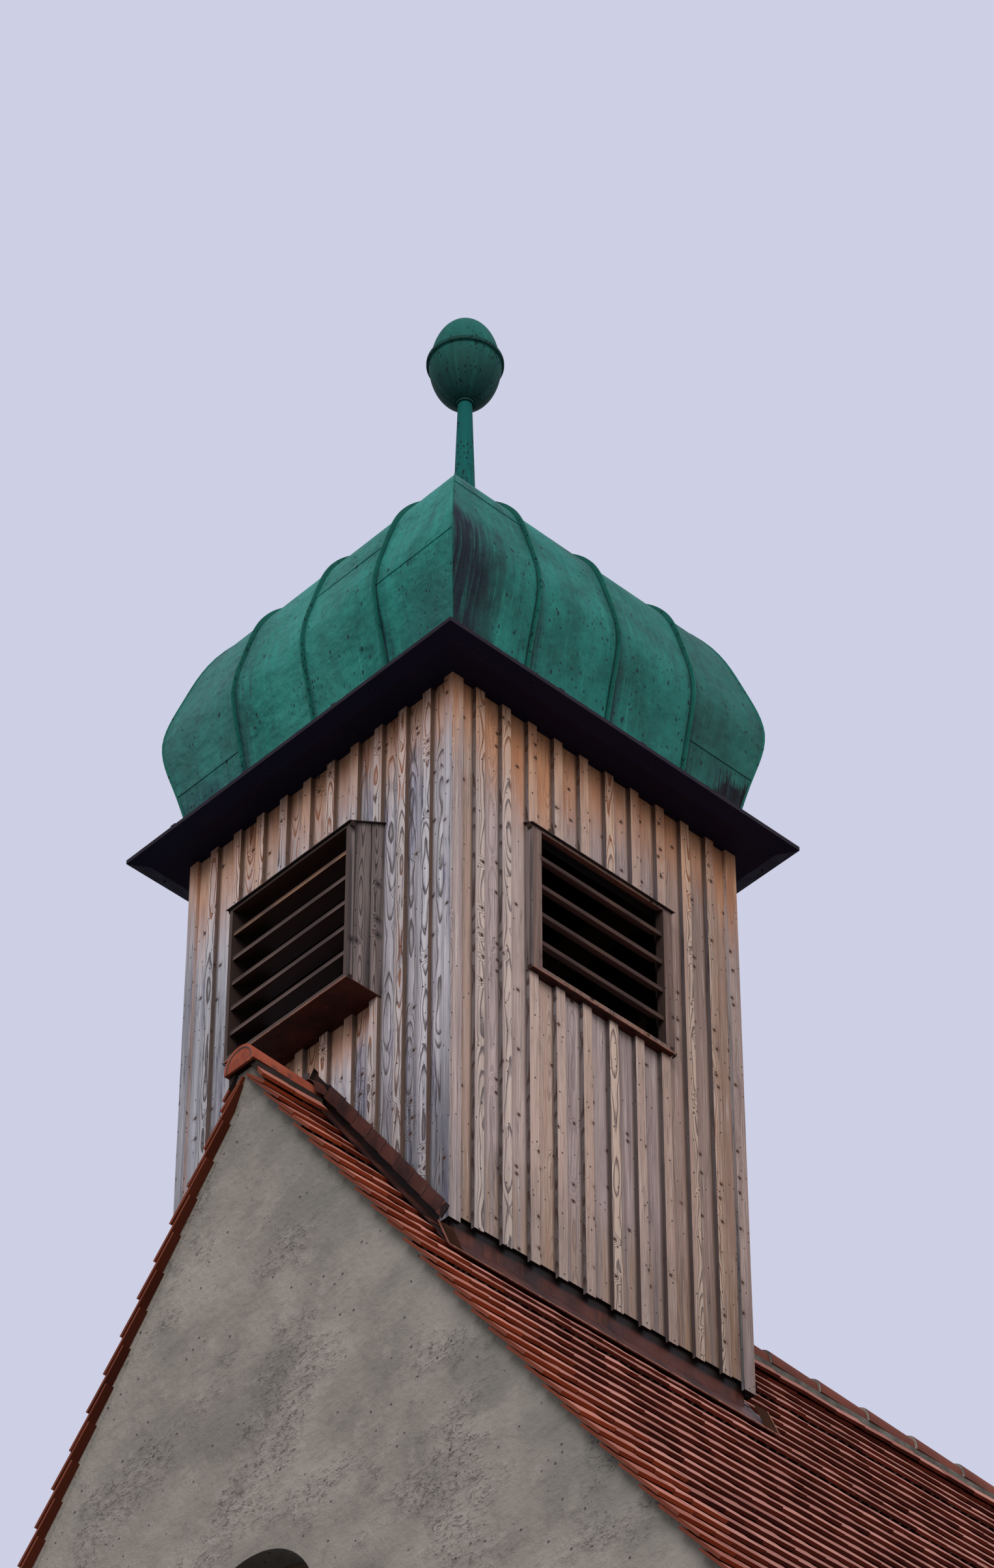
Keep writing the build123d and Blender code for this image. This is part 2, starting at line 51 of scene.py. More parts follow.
bl_info = {
    "name": "Church with a ridge turret",
    "version": (1, 0, 0),
    "blender": (4, 5, 0),
    "location": "View3D > Sidebar > Church",
    "description": "Finishes, tiles and small parts for a church with a copper-capped turret",
    "category": "Object",
}

# Places read from the solids, in metres

(POLE_LEFT, POLE_FRONT, _), (POLE_RIGHT, POLE_REAR, _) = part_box("finial_pole")
AXIS_Y = (POLE_FRONT + POLE_REAR) / 2
(_, _, CAP_BASE), (_, _, CAP_TIP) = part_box("cap_gable_sides")
TURRET_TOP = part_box("top_plate")[1].z
(_, _, SIDE_FOOT), (BATTEN_FACE, _, _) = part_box("battens_right")
BOARD_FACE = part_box("turret_wall_right")[1].x
FLASHING_REACH = 0.081
LINING_FACE = AXIS_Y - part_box("gable_flashings")[0].y - FLASHING_REACH
(_, VERGE_FRONT, EAVE_Z), (EAVE_X, VERGE_REAR, RIDGE_Z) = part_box("tiles_right")
(_, RIDGE_FRONT, RIDGE_FOOT), (RIDGE_RADIUS, RIDGE_REAR, RIDGE_CREST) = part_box("ridge_tiles")
RIDGE_AXIS = RIDGE_CREST - RIDGE_RADIUS
RIDGE_LEG = RIDGE_AXIS - RIDGE_FOOT
BALL_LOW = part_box("finial_ball_lower")[0].z

# Sizes in metres, angles and names that several pieces share

PITCH = math.radians(55.5)
SLOPE_LENGTH = EAVE_X / math.cos(PITCH)
TILE_LAYER = 0.05
TILE_GAP = 0.004
BATTEN_PITCH = 0.16
BATTEN_WIDTH = 0.053
GABLE_SEAMS = (0.481, -0.011, -0.49)
EAVES_SEAMS = (-0.46, 0.043, 0.53)
SIDES = ("front", "right", "rear", "left")
GABLES = ("front", "rear")
HERE = Matrix.Identity(4)
HALF_TURN = Matrix.Rotation(math.pi, 4, "Z")


def settings():
    """The sizes and colours that a user may change."""
    return bpy.context.scene.church


# Small helpers for places and meshes


def shift(x, y, z):
    return Matrix.Translation((x, y, z))


def tilt(angle, axis):
    return Matrix.Rotation(angle, 4, axis)


def as_mesh(bm, name):
    """Gives the mesh of a finished bmesh and frees the bmesh."""
    mesh = bpy.data.meshes.new(name)
    bm.to_mesh(mesh)
    bm.free()
    return mesh


def commit(bm, name, materials, smooth=None):
    """Makes the object of a finished piece and lets it ride with the building."""
    mesh = as_mesh(bm, name)
    piece = bpy.data.objects.new(name, mesh)
    bpy.context.scene.collection.objects.link(piece)
    for material in materials:
        mesh.materials.append(material)
    if smooth is not None:
        for face in mesh.polygons:
            face.use_smooth = True
        mesh.set_sharp_from_angle(angle=math.radians(smooth))
    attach(piece, "root")
    return piece


def join(bm, part, place, material=0):
    """Adds a finished small part to a piece, at its place, and frees the part."""
    bmesh.ops.transform(part, matrix=place, verts=part.verts)
    bmesh.ops.recalc_face_normals(part, faces=part.faces)
    for face in part.faces:
        face.material_index = material
    mesh = as_mesh(part, "part")
    bm.from_mesh(mesh)
    bpy.data.meshes.remove(mesh)


def turned(side):
    """The turn about the turret's axis that brings the front side's pieces to a side."""
    return shift(0, AXIS_Y, 0) @ tilt(math.radians(90 * SIDES.index(side)), "Z")


def roof_out():
    """The direction that stands square to the right slope."""
    return Vector((math.sin(PITCH), 0, math.cos(PITCH)))


def block(low, high, bevel=0.0):
    """A box between two corners, with softened edges if a bevel is given."""
    part = bmesh.new()
    size = Vector(high) - Vector(low)
    middle = (Vector(high) + Vector(low)) / 2
    bmesh.ops.create_cube(part, size=1, matrix=Matrix.Translation(middle) @ Matrix.Diagonal((*size, 1)))
    if bevel:
        bmesh.ops.bevel(
            part,
            geom=part.edges[:],
            offset=bevel,
            offset_type="OFFSET",
            segments=1,
            profile=0.5,
            affect="EDGES",
            material=-1,
        )
    return part


def stud(bm, place, near, far, depth, segments, material=0):
    """Adds a short round head, pin or ring to a piece."""
    part = bmesh.new()
    bmesh.ops.create_cone(part, cap_ends=True, segments=segments, radius1=near, radius2=far, depth=depth)
    join(bm, part, place, material)


def store_tones(bm, tones):
    """Stores a tone on each face, which its material reads."""
    layer = bm.faces.layers.float.new("tone")
    for face, tone in zip(bm.faces, tones):
        face[layer] = tone


def looker(node, side):
    """Gives a function that looks inwards from a place before a side and finds a node's surface."""
    tree = BVHTree.FromObject(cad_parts[node], bpy.context.evaluated_depsgraph_get())
    turn = turned(side)
    aim = (turn.to_3x3() @ Vector((0, 1, 0))).normalized()

    def look(spot, reach):
        start = turn @ spot
        hit = tree.ray_cast(start, aim, reach)[0]
        return None if hit is None else (start - hit).length

    return look


def louvre(side):
    """A louvre box as its own side shows it: middle, half width, front, foot and top."""
    low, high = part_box(f"louvre_box_{side}")
    size = high - low
    middle = turned(side).inverted() @ ((low + high) / 2)
    wide, deep = (size.x, size.y) if side in GABLES else (size.y, size.x)
    return middle.x, wide / 2, middle.y - deep / 2, low.z, high.z


def moved(part, made, vec):
    """Moves the vertices that an extrusion has made and gives them."""
    ends = [item for item in made["geom"] if isinstance(item, bmesh.types.BMVert)]
    bmesh.ops.translate(part, vec=vec, verts=ends)
    return ends


def pushed(part, faces, vec):
    """Extrudes faces, moves the new ends and gives their vertices."""
    return moved(part, bmesh.ops.extrude_face_region(part, geom=faces), vec)


# Shader maths


class Field:
    """A number that varies over a surface, for use in Python expressions."""

    def __init__(self, tree, socket):
        self.tree = tree
        self.socket = socket

    def math(self, operation, *others):
        values = dict(enumerate((self, *others)))
        return self.tree.value("ShaderNodeMath", {"operation": operation}, values)

    def reflected(self, operation, other):
        return self.tree.value("ShaderNodeMath", {"operation": operation}, {0: other, 1: self})

    def __add__(self, other):
        return self.math("ADD", other)

    __radd__ = __add__

    def __sub__(self, other):
        return self.math("SUBTRACT", other)

    def __rsub__(self, other):
        return self.reflected("SUBTRACT", other)

    def __mul__(self, other):
        return self.math("MULTIPLY", other)

    __rmul__ = __mul__

    def __truediv__(self, other):
        return self.math("DIVIDE", other)

    def __rtruediv__(self, other):
        return self.reflected("DIVIDE", other)

    def __abs__(self):
        return self.math("ABSOLUTE")

    def band(self, low, high, result=(0.0, 1.0)):
        """Rises smoothly from the first result at low to the second at high."""
        limits = {0: self, 1: low, 2: high, 3: result[0], 4: result[1]}
        return self.tree.value("ShaderNodeMapRange", {"interpolation_type": "SMOOTHSTEP"}, limits)


class Tree:
    """A node tree under construction, with short calls for its nodes."""

    def __init__(self, nodes):
        self.tree = nodes

    def node(self, kind, options=None, inputs=None):
        """Adds a node: its options are set first, then its inputs' values or links."""
        made = self.tree.nodes.new(kind)
        for name, value in (options or {}).items():
            setattr(made, name, value)
        self.feed(made, inputs)
        return made

    def feed(self, made, inputs):
        """Sets a node's inputs, each to a value or to a link."""
        for name, value in (inputs or {}).items():
            socket = made.inputs[name]
            if isinstance(value, Field):
                value = value.socket
            if isinstance(value, bpy.types.NodeSocket):
                self.tree.links.new(value, socket)
            elif isinstance(value, (tuple, list)) and socket.type == "RGBA" and len(value) == 3:
                socket.default_value = (*value, 1)
            else:
                socket.default_value = value

    def value(self, kind, options=None, inputs=None, output=0):
        return Field(self, self.node(kind, options, inputs).outputs[output])

    def blend(self, factor, first, second, kind="MIX"):
        """Mixes two colours, each three numbers or a colour made before."""
        options = {"data_type": "RGBA", "blend_type": kind, "clamp_factor": True}
        return self.node("ShaderNodeMix", options, {0: factor, 6: first, 7: second}).outputs[2]


class Paint(Tree):
    """A material under construction."""

    def __init__(self, name):
        self.material = bpy.data.materials.new(name)
        self.material.use_nodes = True
        super().__init__(self.material.node_tree)
        self.shader = self.tree.nodes["Principled BSDF"]
        coordinates = self.node("ShaderNodeTexCoord")
        self.place = coordinates.outputs["Object"]
        self.facing = coordinates.outputs["Normal"]

    def axes(self, vector=None):
        split = self.node("ShaderNodeSeparateXYZ", None, {0: vector or self.place})
        return [Field(self, socket) for socket in split.outputs]

    def vector(self, x, y, z):
        return self.node("ShaderNodeCombineXYZ", None, {0: x, 1: y, 2: z}).outputs[0]

    def noise(self, scale, detail=3.0, roughness=0.55, vector=None):
        inputs = {"Vector": vector or self.place, "Scale": scale, "Detail": detail, "Roughness": roughness}
        return self.value("ShaderNodeTexNoise", None, inputs)

    def drawn(self, place, detail=3.0, roughness=0.55):
        """Noise at a place whose three numbers are scaled on their own, so that it's drawn out."""
        return self.noise(1.0, detail, roughness, self.vector(*place))

    def cells(self, scale, vector=None, flat=False):
        """Distance to the nearest of a set of scattered points, and a random number for it."""
        options = {"voronoi_dimensions": "2D" if flat else "3D"}
        made = self.node("ShaderNodeTexVoronoi", options, {"Vector": vector or self.place, "Scale": scale})
        return Field(self, made.outputs["Distance"]), self.axes(made.outputs["Color"])[0]

    def spots(self, place, edge, chance, flat=False):
        """Scattered spots: how far each reaches from its middle, and how rare they are."""
        gap, number = self.cells(1.0, self.vector(*place), flat)
        return gap.band(*edge) * number.band(*chance)

    def tone(self):
        """The tone that is stored on each face."""
        return self.value("ShaderNodeAttribute", {"attribute_name": "tone"}, None, 2)

    def chance(self, number):
        """A random number from 0 to 1 for each whole number."""
        return self.value("ShaderNodeTexWhiteNoise", {"noise_dimensions": "1D"}, {"W": number})

    def inward(self):
        """1 on faces that look towards the turret's axis, 0 on the others."""
        x, y, _ = self.axes()
        nx, ny, _ = self.axes(self.facing)
        return (x * nx + (y - AXIS_Y) * ny).band(0.0, -0.05)

    def coats(self, colour, *coats):
        """Lays coats over a colour in turn, each a mask, a tone and, if need be, a way of mixing."""
        for mask, tone, *kind in coats:
            colour = self.blend(mask, colour, tone, *kind)
        return colour

    def finish(self, colour, roughness, height=None, depth=0.002, metallic=0.0, sheen=0.5):
        """Joins the colour, roughness and relief to the shader and gives the material."""
        inputs = {"Base Color": colour, "Roughness": roughness, "Metallic": metallic}
        inputs["Specular IOR Level"] = sheen
        if height is not None:
            bump = {"Height": height, "Distance": depth, "Strength": 1.0}
            inputs["Normal"] = self.node("ShaderNodeBump", None, bump).outputs[0]
        self.feed(self.shader, inputs)
        return self.material


# Finishes


def scaled(tone, share):
    """The same tone, lighter or darker."""
    return [part * share for part in tone]


def larch(name, origin, width, seed, part="board", sheltered=None, side=None):
    """Weathered upright boards: silver over the gables, tan over the eaves, fresh where dry."""
    paint = Paint(name)
    x, y, z = paint.axes()
    nx, ny, nz = paint.axes(paint.facing)
    depth = y - AXIS_Y
    rise = z - TURRET_TOP
    tan_side = abs(nx).band(0.4, 0.6)
    silver_side = 1 - tan_side
    across = x * silver_side + depth * tan_side
    hand = (x * tan_side + depth * silver_side).band(-0.01, 0.01)
    from_left = across * hand.band(0, 1, (1.0, -1.0))
    board = (across - origin) / width
    number = board.math("FLOOR") + (tan_side * 37 + hand * 19 + seed)
    inside = board.math("FRACT") - 0.5
    first = paint.chance(number)
    second = paint.chance(number + 31.7)
    third = paint.chance(number + 57.3)
    # knots, and the rings that bend round them
    knot_place = paint.vector(across * 11 + number * 3.7, z * 11 + number * 5.3, 0)
    knot_gap, knot_chance = paint.cells(1.0, knot_place, True)
    rough_edge = paint.drawn((across * 140, number, z * 90))
    knot_gap = knot_gap + (rough_edge - 0.5) * 0.07
    knotty = knot_chance.band(0.8, 0.82)
    knot = knot_gap.band(0.1, 0.055) * knotty
    knot_ring = knot_gap.band(0.17, 0.11) * knotty * (1 - knot)
    around = knot_gap.band(0.5, 0.06) * knotty
    # rings cut lengthwise: long nested flames up the middle of a flat-sawn board
    sway = paint.drawn((number * 3.1, 0.0, z * 1.6 + number * 7), 2.0) - 0.5
    deep = paint.drawn((number * 5.7, across * 2, z * 1.3 + number), 2.0, 0.5)
    ripple = paint.drawn((number * 2.3, across * 36, z * 9), 2.0)
    heart = inside - (second - 0.5) * 0.45 + sway * 0.3
    rings = heart * heart * (24 + third * 22) + deep * 13 + ripple * 0.5 + around * 2.6
    step = rings.math("FRACT")
    line = step.band(0.5, 0.86) * step.band(1.0, 0.92)
    flat_sawn = (first.band(0.3, 0.45) * 0.85 + 0.15) * abs(heart).band(0.33, 0.13)
    line = line * (flat_sawn + around * 0.6).math("MINIMUM", 1.0)
    # only the sides of battens stand across the face that they're nailed to; painted shade darkens these
    # sides
    batten_side_shade = tan_side * abs(depth).band(BOARD_FACE - 0.004, BOARD_FACE - 0.001)
    batten_side_shade = batten_side_shade + silver_side * abs(x).band(BOARD_FACE - 0.004, BOARD_FACE - 0.001)
    # streaks along the grain, dirt in the cracks and pin knots
    fine = paint.drawn((across * 240, number, z * 2.6), 3.0, 0.6)
    broad = paint.drawn((across * 38, number * 3, z * 0.8), 3.0, 0.6)
    cloud = paint.drawn((across * 9, number * 5, z * 1.3))
    crack = paint.drawn((across * 110, number * 7, z * 4.2), 4.0, 0.75)
    soot = (crack + (cloud - 0.5) * 0.45).band(0.56, 0.68)
    speck_place = (across * 34 + number, z * 22 + number * 3.3, 0)
    speck = paint.spots(speck_place, (0.15, 0.07), (0.91, 0.93), True)
    # fresh wood under the eaves and under the deep louvre box
    drift = (broad - 0.5) * 0.5 + (second - 0.5) * 0.3 + (fine - 0.5) * 0.2
    fresh = (rise + drift).band(-0.66, -0.02)
    if sheltered:
        left, right, top = sheltered
        beside = from_left.band(left - 0.05, left + 0.12) * from_left.band(right + 0.03, right - 0.1)
        below = (z + drift * 0.7).band(top - 0.36, top - 0.1) * z.band(top + 0.03, top)
        fresh = fresh.math("MAXIMUM", beside * below * silver_side)
    tint = second * 0.45 + broad.band(0.3, 0.7) * 0.55
    silver = paint.blend(tint, (0.16, 0.146, 0.17), (0.64, 0.6, 0.65))
    silver = paint.blend(cloud.band(0.5, 0.68) * 0.75, silver, (0.25, 0.24, 0.33))
    silver = paint.blend(third.band(0.62, 0.8) * 0.6, silver, (0.38, 0.28, 0.235))
    at_left = from_left.band(-0.4, -0.72) * rise.band(-0.35, -0.9)
    silver = paint.coats(
        silver,
        (rise.band(-1.75, -2.75), (0.36, 0.39, 0.42), "MULTIPLY"),
        (at_left, (0.6, 0.63, 0.66), "MULTIPLY"),
    )
    tan = paint.blend(tint, (0.2, 0.145, 0.14), (0.47, 0.37, 0.355))
    tan = paint.coats(
        tan,
        (third.band(0.45, 0.7) * 0.65, (0.4, 0.258, 0.195)),
        (across.band(0.05, 0.75), (0.72, 0.66, 0.62), "MULTIPLY"),
        (rise.band(-2.35, -2.9), (0.74, 0.77, 0.79), "MULTIPLY"),
    )
    base = paint.blend(tan_side, silver, tan)
    warm = paint.blend(cloud.band(0.35, 0.65), (0.3, 0.115, 0.045), (0.6, 0.345, 0.215))
    base = paint.blend(fresh * 0.85, base, warm)
    if part == "board":
        base = paint.blend(fresh * tan_side * 0.6, base, (0.43, 0.17, 0.07))
        dry_foot = rise.band(-2.45, -2.8) * broad.band(0.38, 0.6) * tan_side
        base = paint.blend(dry_foot * 0.45, base, (0.27, 0.145, 0.07))
    if part == "batten":
        early = flat_sawn * (1 - line) * (0.35 - tan_side * 0.05)
        base = paint.blend(early, base, paint.blend(tan_side, (0.56, 0.53, 0.56), (0.64, 0.51, 0.41)))
    top_edge = (rise + (broad - 0.5) * 0.2).band(-0.22, -0.02)
    base = paint.blend(top_edge * 0.55, base, (0.2, 0.075, 0.03))
    ember = (third * 0.45 + cloud * 0.5 + fresh * 0.7).band(0.6, 0.76)
    late = paint.blend(ember, (0.06, 0.045, 0.046), (0.29, 0.09, 0.03))
    late = paint.blend(ember * fresh, late, (0.14, 0.04, 0.012))
    contrast = 1 - tan_side * 0.6 if part == "board" else 1 - tan_side * 0.12
    base = paint.coats(
        base,
        (line * 0.88 * contrast, late),
        (fine.band(0.5, 0.7) * 0.45, (0.095, 0.072, 0.072)),
        (fine.band(0.46, 0.28) * (0.4 - fresh * 0.3), (0.68, 0.62, 0.61)),
    )
    dirt = soot * (1 - tan_side * 0.65) * (1 - fresh * 0.7)
    base = paint.coats(
        base,
        (dirt * 0.9, (0.02, 0.019, 0.028)),
        (knot_ring * 0.6, (0.1, 0.042, 0.024)),
        (knot * 0.95, (0.014, 0.009, 0.008)),
        (speck * 0.9, (0.01, 0.008, 0.008)),
    )
    if part == "board":
        # painted shade: each board is painted dark brown where it meets a batten
        beside = (0.5 - abs(inside)) * width - BATTEN_WIDTH / 2
        base = paint.blend(beside.band(0.022, 0.002) * 0.75, base, (0.045, 0.024, 0.016))
    if part == "batten":
        # painted shade: the battens' sides are painted dark brown
        base = paint.blend(batten_side_shade * 0.75, base, (0.045, 0.022, 0.014))
    # sawn ends and undersides are nearly black: darker end grain, and painted shade on every face that
    # looks down; the room side is old brown wood
    base = paint.blend(nz.band(-0.3, -0.8) * 0.9, base, (0.01, 0.007, 0.006))
    if part == "board":
        base = paint.blend(paint.inward(), base, (0.02, 0.012, 0.009))
    if part == "box":
        # the box is grey outside where the weather reaches and stained dark within, where painted light
        # makes the faces that look down lighter
        low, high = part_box(f"louvre_box_{side}")
        gable = side in GABLES
        offset = x - (low.x + high.x) / 2 if gable else y - (low.y + high.y) / 2
        outer = (offset * (nx if gable else ny)).band(0.02, 0.1)
        end = abs(ny if gable else nx).band(0.5, 0.9)
        half_lit = paint.blend(1.0, base, (0.5, 0.42, 0.38), "MULTIPLY")
        # painted light: inside, faces that look down get a lighter colour than the rest
        painted_light_ceiling = (0.1, 0.05, 0.04) if gable else (0.26, 0.11, 0.085)
        roofed = paint.blend(nz.band(-0.3, -0.7), (0.03, 0.017, 0.014), painted_light_ceiling)
        stained = paint.blend(end, roofed, (0.07, 0.048, 0.043) if gable else half_lit)
        pale = paint.blend(second.band(0.45, 0.55), (0.176, 0.134, 0.133), (0.275, 0.18, 0.148))
        plank = paint.blend(broad.band(0.6, 0.42) * 0.85, pale, (0.034, 0.026, 0.028))
        plank = paint.coats(
            plank,
            (fine.band(0.5, 0.66) * 0.55, (0.035, 0.028, 0.03)),
            (flat_sawn * (1 - line) * 0.35, (0.42, 0.34, 0.32)),
            (line * 0.85, late),
            (around.band(0.3, 0.9) * 0.55, (0.028, 0.022, 0.026)),
            ((knot + speck).math("MINIMUM", 1.0) * 0.95, (0.01, 0.007, 0.007)),
        )
        joint = abs(inside).band(0.455, 0.485)
        plank = paint.blend(joint * 0.8, plank, (0.014, 0.011, 0.011))
        base = paint.blend(outer, stained, plank)
    height = line * -0.6 + fine * 0.5 - soot * 0.5 - knot * 0.4
    return paint.finish(base, 0.85, height, 0.0014, sheen=0.15)


def slat_wood(side):
    """Dark stained slats whose front edges have weathered to a warm grey brown, with a painted highlight
    along the lowest part of each front edge, and undersides painted lighter, which is painted light.
    """
    paint = Paint(f"louvre slats {side}")
    x, y, z = paint.axes()
    nx, ny, nz = paint.axes(paint.facing)
    grain = paint.drawn((x * 4, y * 4, z * 190))
    blotch = paint.noise(3.2)
    nose = abs(nx).math("MAXIMUM", abs(ny)).band(0.8, 0.95)
    colour = paint.blend(grain, (0.03, 0.016, 0.013), (0.07, 0.036, 0.028))
    gable = side in GABLES
    if gable:
        painted_light_under = ((0.07, 0.038, 0.034), (0.17, 0.08, 0.068))
        worn = ((0.046, 0.036, 0.038), (0.11, 0.075, 0.066))
        pitch, steps, golden = 0.146, 4, 0.9
    else:
        painted_light_under = ((0.11, 0.056, 0.048), (0.28, 0.13, 0.105))
        worn = ((0.026, 0.015, 0.014), (0.064, 0.034, 0.026))
        pitch, steps, golden = 0.165, 3, 0.2
    # painted light: the slats' undersides are painted lighter than their tops
    colour = paint.blend(nz.band(-0.1, -0.5), colour, paint.blend(grain, *painted_light_under))
    worn = paint.blend(blotch.band(0.35, 0.65), *worn)
    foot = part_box(f"louvre_slats_{side}")[0].z
    up_the_nose = ((z - foot) / pitch).math("FRACT") * pitch
    # painted highlight: the lowest part of each front edge takes the worn colour in full, the rest only
    # faintly
    nose_highlight = up_the_nose.band(0.013, 0.008, (0.3, 1.25))
    top_slat = z.band(foot + pitch * steps - 0.02, foot + pitch * steps)
    worn = paint.blend(top_slat * blotch.band(0.35, 0.6) * golden, worn, (0.22, 0.112, 0.06))
    colour = paint.blend(nose * (0.45 + grain * 0.7) * nose_highlight, colour, worn)
    return paint.finish(colour, 0.75, grain, 0.001, sheen=0.15)


def patina(name, gable):
    """Green copper with streaks that run down, stains and painted shadow lines by the seams, and pits."""
    paint = Paint(name)
    x, y, z = paint.axes()
    rise = z - CAP_BASE
    across, depth = (x, y - AXIS_Y) if gable else (y - AXIS_Y, x)
    hand = depth.band(-0.01, 0.01)
    local = across * hand.band(0, 1, (1.0, -1.0) if gable else (-1.0, 1.0))
    fall = paint.drawn((across * 30, hand * 9, z * 1.5), 4.0, 0.62)
    thin = paint.drawn((across * 120, hand * 5, z * 3.2), 3.0, 0.6)
    cloud = paint.drawn((x * 3.6, y * 3.6, z * 2.4), 4.0, 0.6)
    mottle = paint.noise(30.0, 4.0, 0.65)
    tone = (0.0105, 0.142, 0.118) if gable else (0.0085, 0.116, 0.098)
    deep = scaled(tone, 0.55)
    pale = (0.026, 0.23, 0.19)
    colour = paint.blend(cloud.band(0.28, 0.66), deep, scaled(tone, 1.28))
    colour = paint.coats(
        colour,
        (fall.band(0.54, 0.78) * 0.6, pale),
        (fall.band(0.47, 0.26) * 0.6, (0.006, 0.044, 0.045)),
        (thin.band(0.58, 0.76) * 0.5, (0.05, 0.31, 0.26)),
        (thin.band(0.43, 0.27) * 0.5, (0.005, 0.036, 0.038)),
        (mottle.band(0.5, 0.7) * 0.35, scaled(tone, 1.45)),
        (mottle.band(0.46, 0.32) * 0.3, deep),
    )
    # a thin painted shadow line along each standing seam, and dark runs beside it, wider low down
    low_down = rise.band(0.95, 0.25)
    for place in GABLE_SEAMS if gable else EAVES_SEAMS:
        past = local - place
        colour = paint.blend(abs(past).band(0.02, 0.009) * 0.85, colour, (0.003, 0.014, 0.014))
        run = past.band(-0.005, 0.01) * (past + (thin - 0.5) * 0.06).band(0.085, 0.02)
        colour = paint.blend(run * low_down * fall.band(0.34, 0.54) * 0.85, colour, (0.006, 0.018, 0.026))
    if gable:
        hip_dirt = (local + (cloud - 0.5) * 0.4).band(0.52, 0.8) * rise.band(0.85, 0.3)
        foot = rise.band(0.42, 0.3) * local.band(-0.45, -0.6)
        colour = paint.coats(
            colour,
            (abs(local).band(0.42, 0.12) * 0.33, (0.036, 0.225, 0.19)),
            (local.band(-0.3, -0.62) * 0.35, (0.045, 0.083, 0.091)),
            (hip_dirt * (0.3 + fall * 0.35), (0.016, 0.055, 0.06)),
            (foot * fall.band(0.35, 0.6) * 0.7, (0.011, 0.042, 0.055)),
        )
    else:
        # soot-blue wash beside the near hip, a near-black patch at the far corner
        edge = (local + (cloud - 0.5) * 0.35 + (fall - 0.5) * 0.55).band(-0.6, -0.9)
        wash = edge * (rise + (cloud - 0.5) * 0.6).band(1.35, 0.8)
        wash = wash * (0.6 + thin * 0.6) * fall.band(0.34, 0.5, (0.3, 1.0))
        ragged = (thin - 0.5) * 0.22 + (cloud - 0.5) * 0.25
        reach = rise * 0.5 - 0.1 + ragged * 1.2
        far = (local - reach).band(0.7, 0.725) * (rise + ragged * 1.4).band(0.37, 0.34)
        run_down = (local + ragged).band(0.55, 0.62) * rise.band(0.45, 0.36)
        colour = paint.coats(
            colour,
            (wash * 1.15, (0.004, 0.008, 0.016)),
            (local.band(0.15, 0.75) * 0.4, (0.014, 0.04, 0.036)),
            (far, (0.001, 0.001, 0.002)),
            (run_down * fall.band(0.45, 0.62) * 0.7, (0.01, 0.024, 0.032)),
        )
    # pits in groups and a few larger spots
    groups = paint.noise(4.6, 2.0).band(0.42, 0.62, (0.12, 1.0) if gable else (0.35, 1.0))
    pit = paint.spots((x * 58, y * 58, z * 30), (0.36, 0.2), (0.68, 0.74)) * groups
    spot = paint.spots((x * 17, y * 17, z * 8), (0.16, 0.08), (0.55, 0.6))
    colour = paint.blend(pit.math("MAXIMUM", spot) * 0.9, colour, (0.005, 0.014, 0.016))
    colour = paint.blend(paint.inward(), colour, (0.016, 0.01, 0.008))
    # the sheet is dressed by hand, so it lies in long shallow dents and small facets
    dents = paint.drawn((x * 4.5, y * 4.5, z * 3.0), 2.0)
    facet_gap = paint.cells(1.0, paint.vector(x * 13, y * 13, z * 17))[0]
    hammer = paint.drawn((x * 17, y * 17, z * 15), 2.0)
    beaten = hammer * 2.6 + facet_gap * 0.8 if gable else hammer * 1.2 + facet_gap * 0.2
    height = dents * 5.0 + beaten + mottle * 0.2 - pit * 0.2
    return paint.finish(colour, thin.band(0.2, 0.8, (0.5, 0.7)), height, 0.0055, sheen=0.13)


def ball_patina(name, top, bottom):
    """Green copper of the finial, darker towards the bottom and pitted low down."""
    paint = Paint(name)
    x, y, z = paint.axes()
    turn = paint.value("ShaderNodeMath", {"operation": "ARCTAN2"}, {0: y - AXIS_Y, 1: x})
    run = paint.drawn((turn * 5.0, 0.0, z * 3.0), 4.0, 0.65)
    cloud = paint.noise(9.0, 4.0, 0.6)
    blots = paint.spots((x * 60, y * 60, z * 38), (0.46, 0.26), (0.35, 0.45))
    blots = blots * paint.noise(9.0, 2.0).band(0.42, 0.56)
    blots = blots * z.band(BALL_LOW + 0.42, BALL_LOW + 0.3, (0.25, 1.0))
    height = z.band(BALL_LOW + 0.05, BALL_LOW + 0.42)
    colour = paint.blend(height, bottom, top)
    colour = paint.coats(
        colour,
        (run.band(0.5, 0.75) * 0.5, scaled(top, 1.5)),
        (run.band(0.48, 0.28) * 0.6, scaled(top, 0.4)),
        (cloud.band(0.55, 0.75) * 0.35, scaled(top, 0.35)),
        (blots * 0.85, (0.004, 0.012, 0.012)),
    )
    return paint.finish(colour, 0.65, cloud * 1.5 + run - blots * 0.2, 0.003, sheen=0.06)


def eaves_copper():
    """Near-black brown copper of the eaves, with a faint brushed run of dirt."""
    paint = Paint("eaves copper")
    x, y, z = paint.axes()
    nz = paint.axes(paint.facing)[2]
    run = paint.drawn((x * 9, y * 9, z * 60))
    cloud = paint.noise(2.4)
    spot = paint.noise(60.0, 3.0, 0.7)
    colour = paint.blend(cloud, (0.0075, 0.0064, 0.019), (0.015, 0.0116, 0.03))
    colour = paint.coats(
        colour,
        (nz.band(-0.9, -0.2) * 0.7, (0.015, 0.0085, 0.0105)),
        (run.band(0.55, 0.75) * 0.35, (0.026, 0.016, 0.019)),
        (spot.band(0.66, 0.74) * 0.5, (0.05, 0.035, 0.04)),
    )
    rough = run.band(0.3, 0.7, (0.45, 0.65))
    return paint.finish(colour, rough, cloud * 3.0 + run * 0.2, 0.003, sheen=0.08)


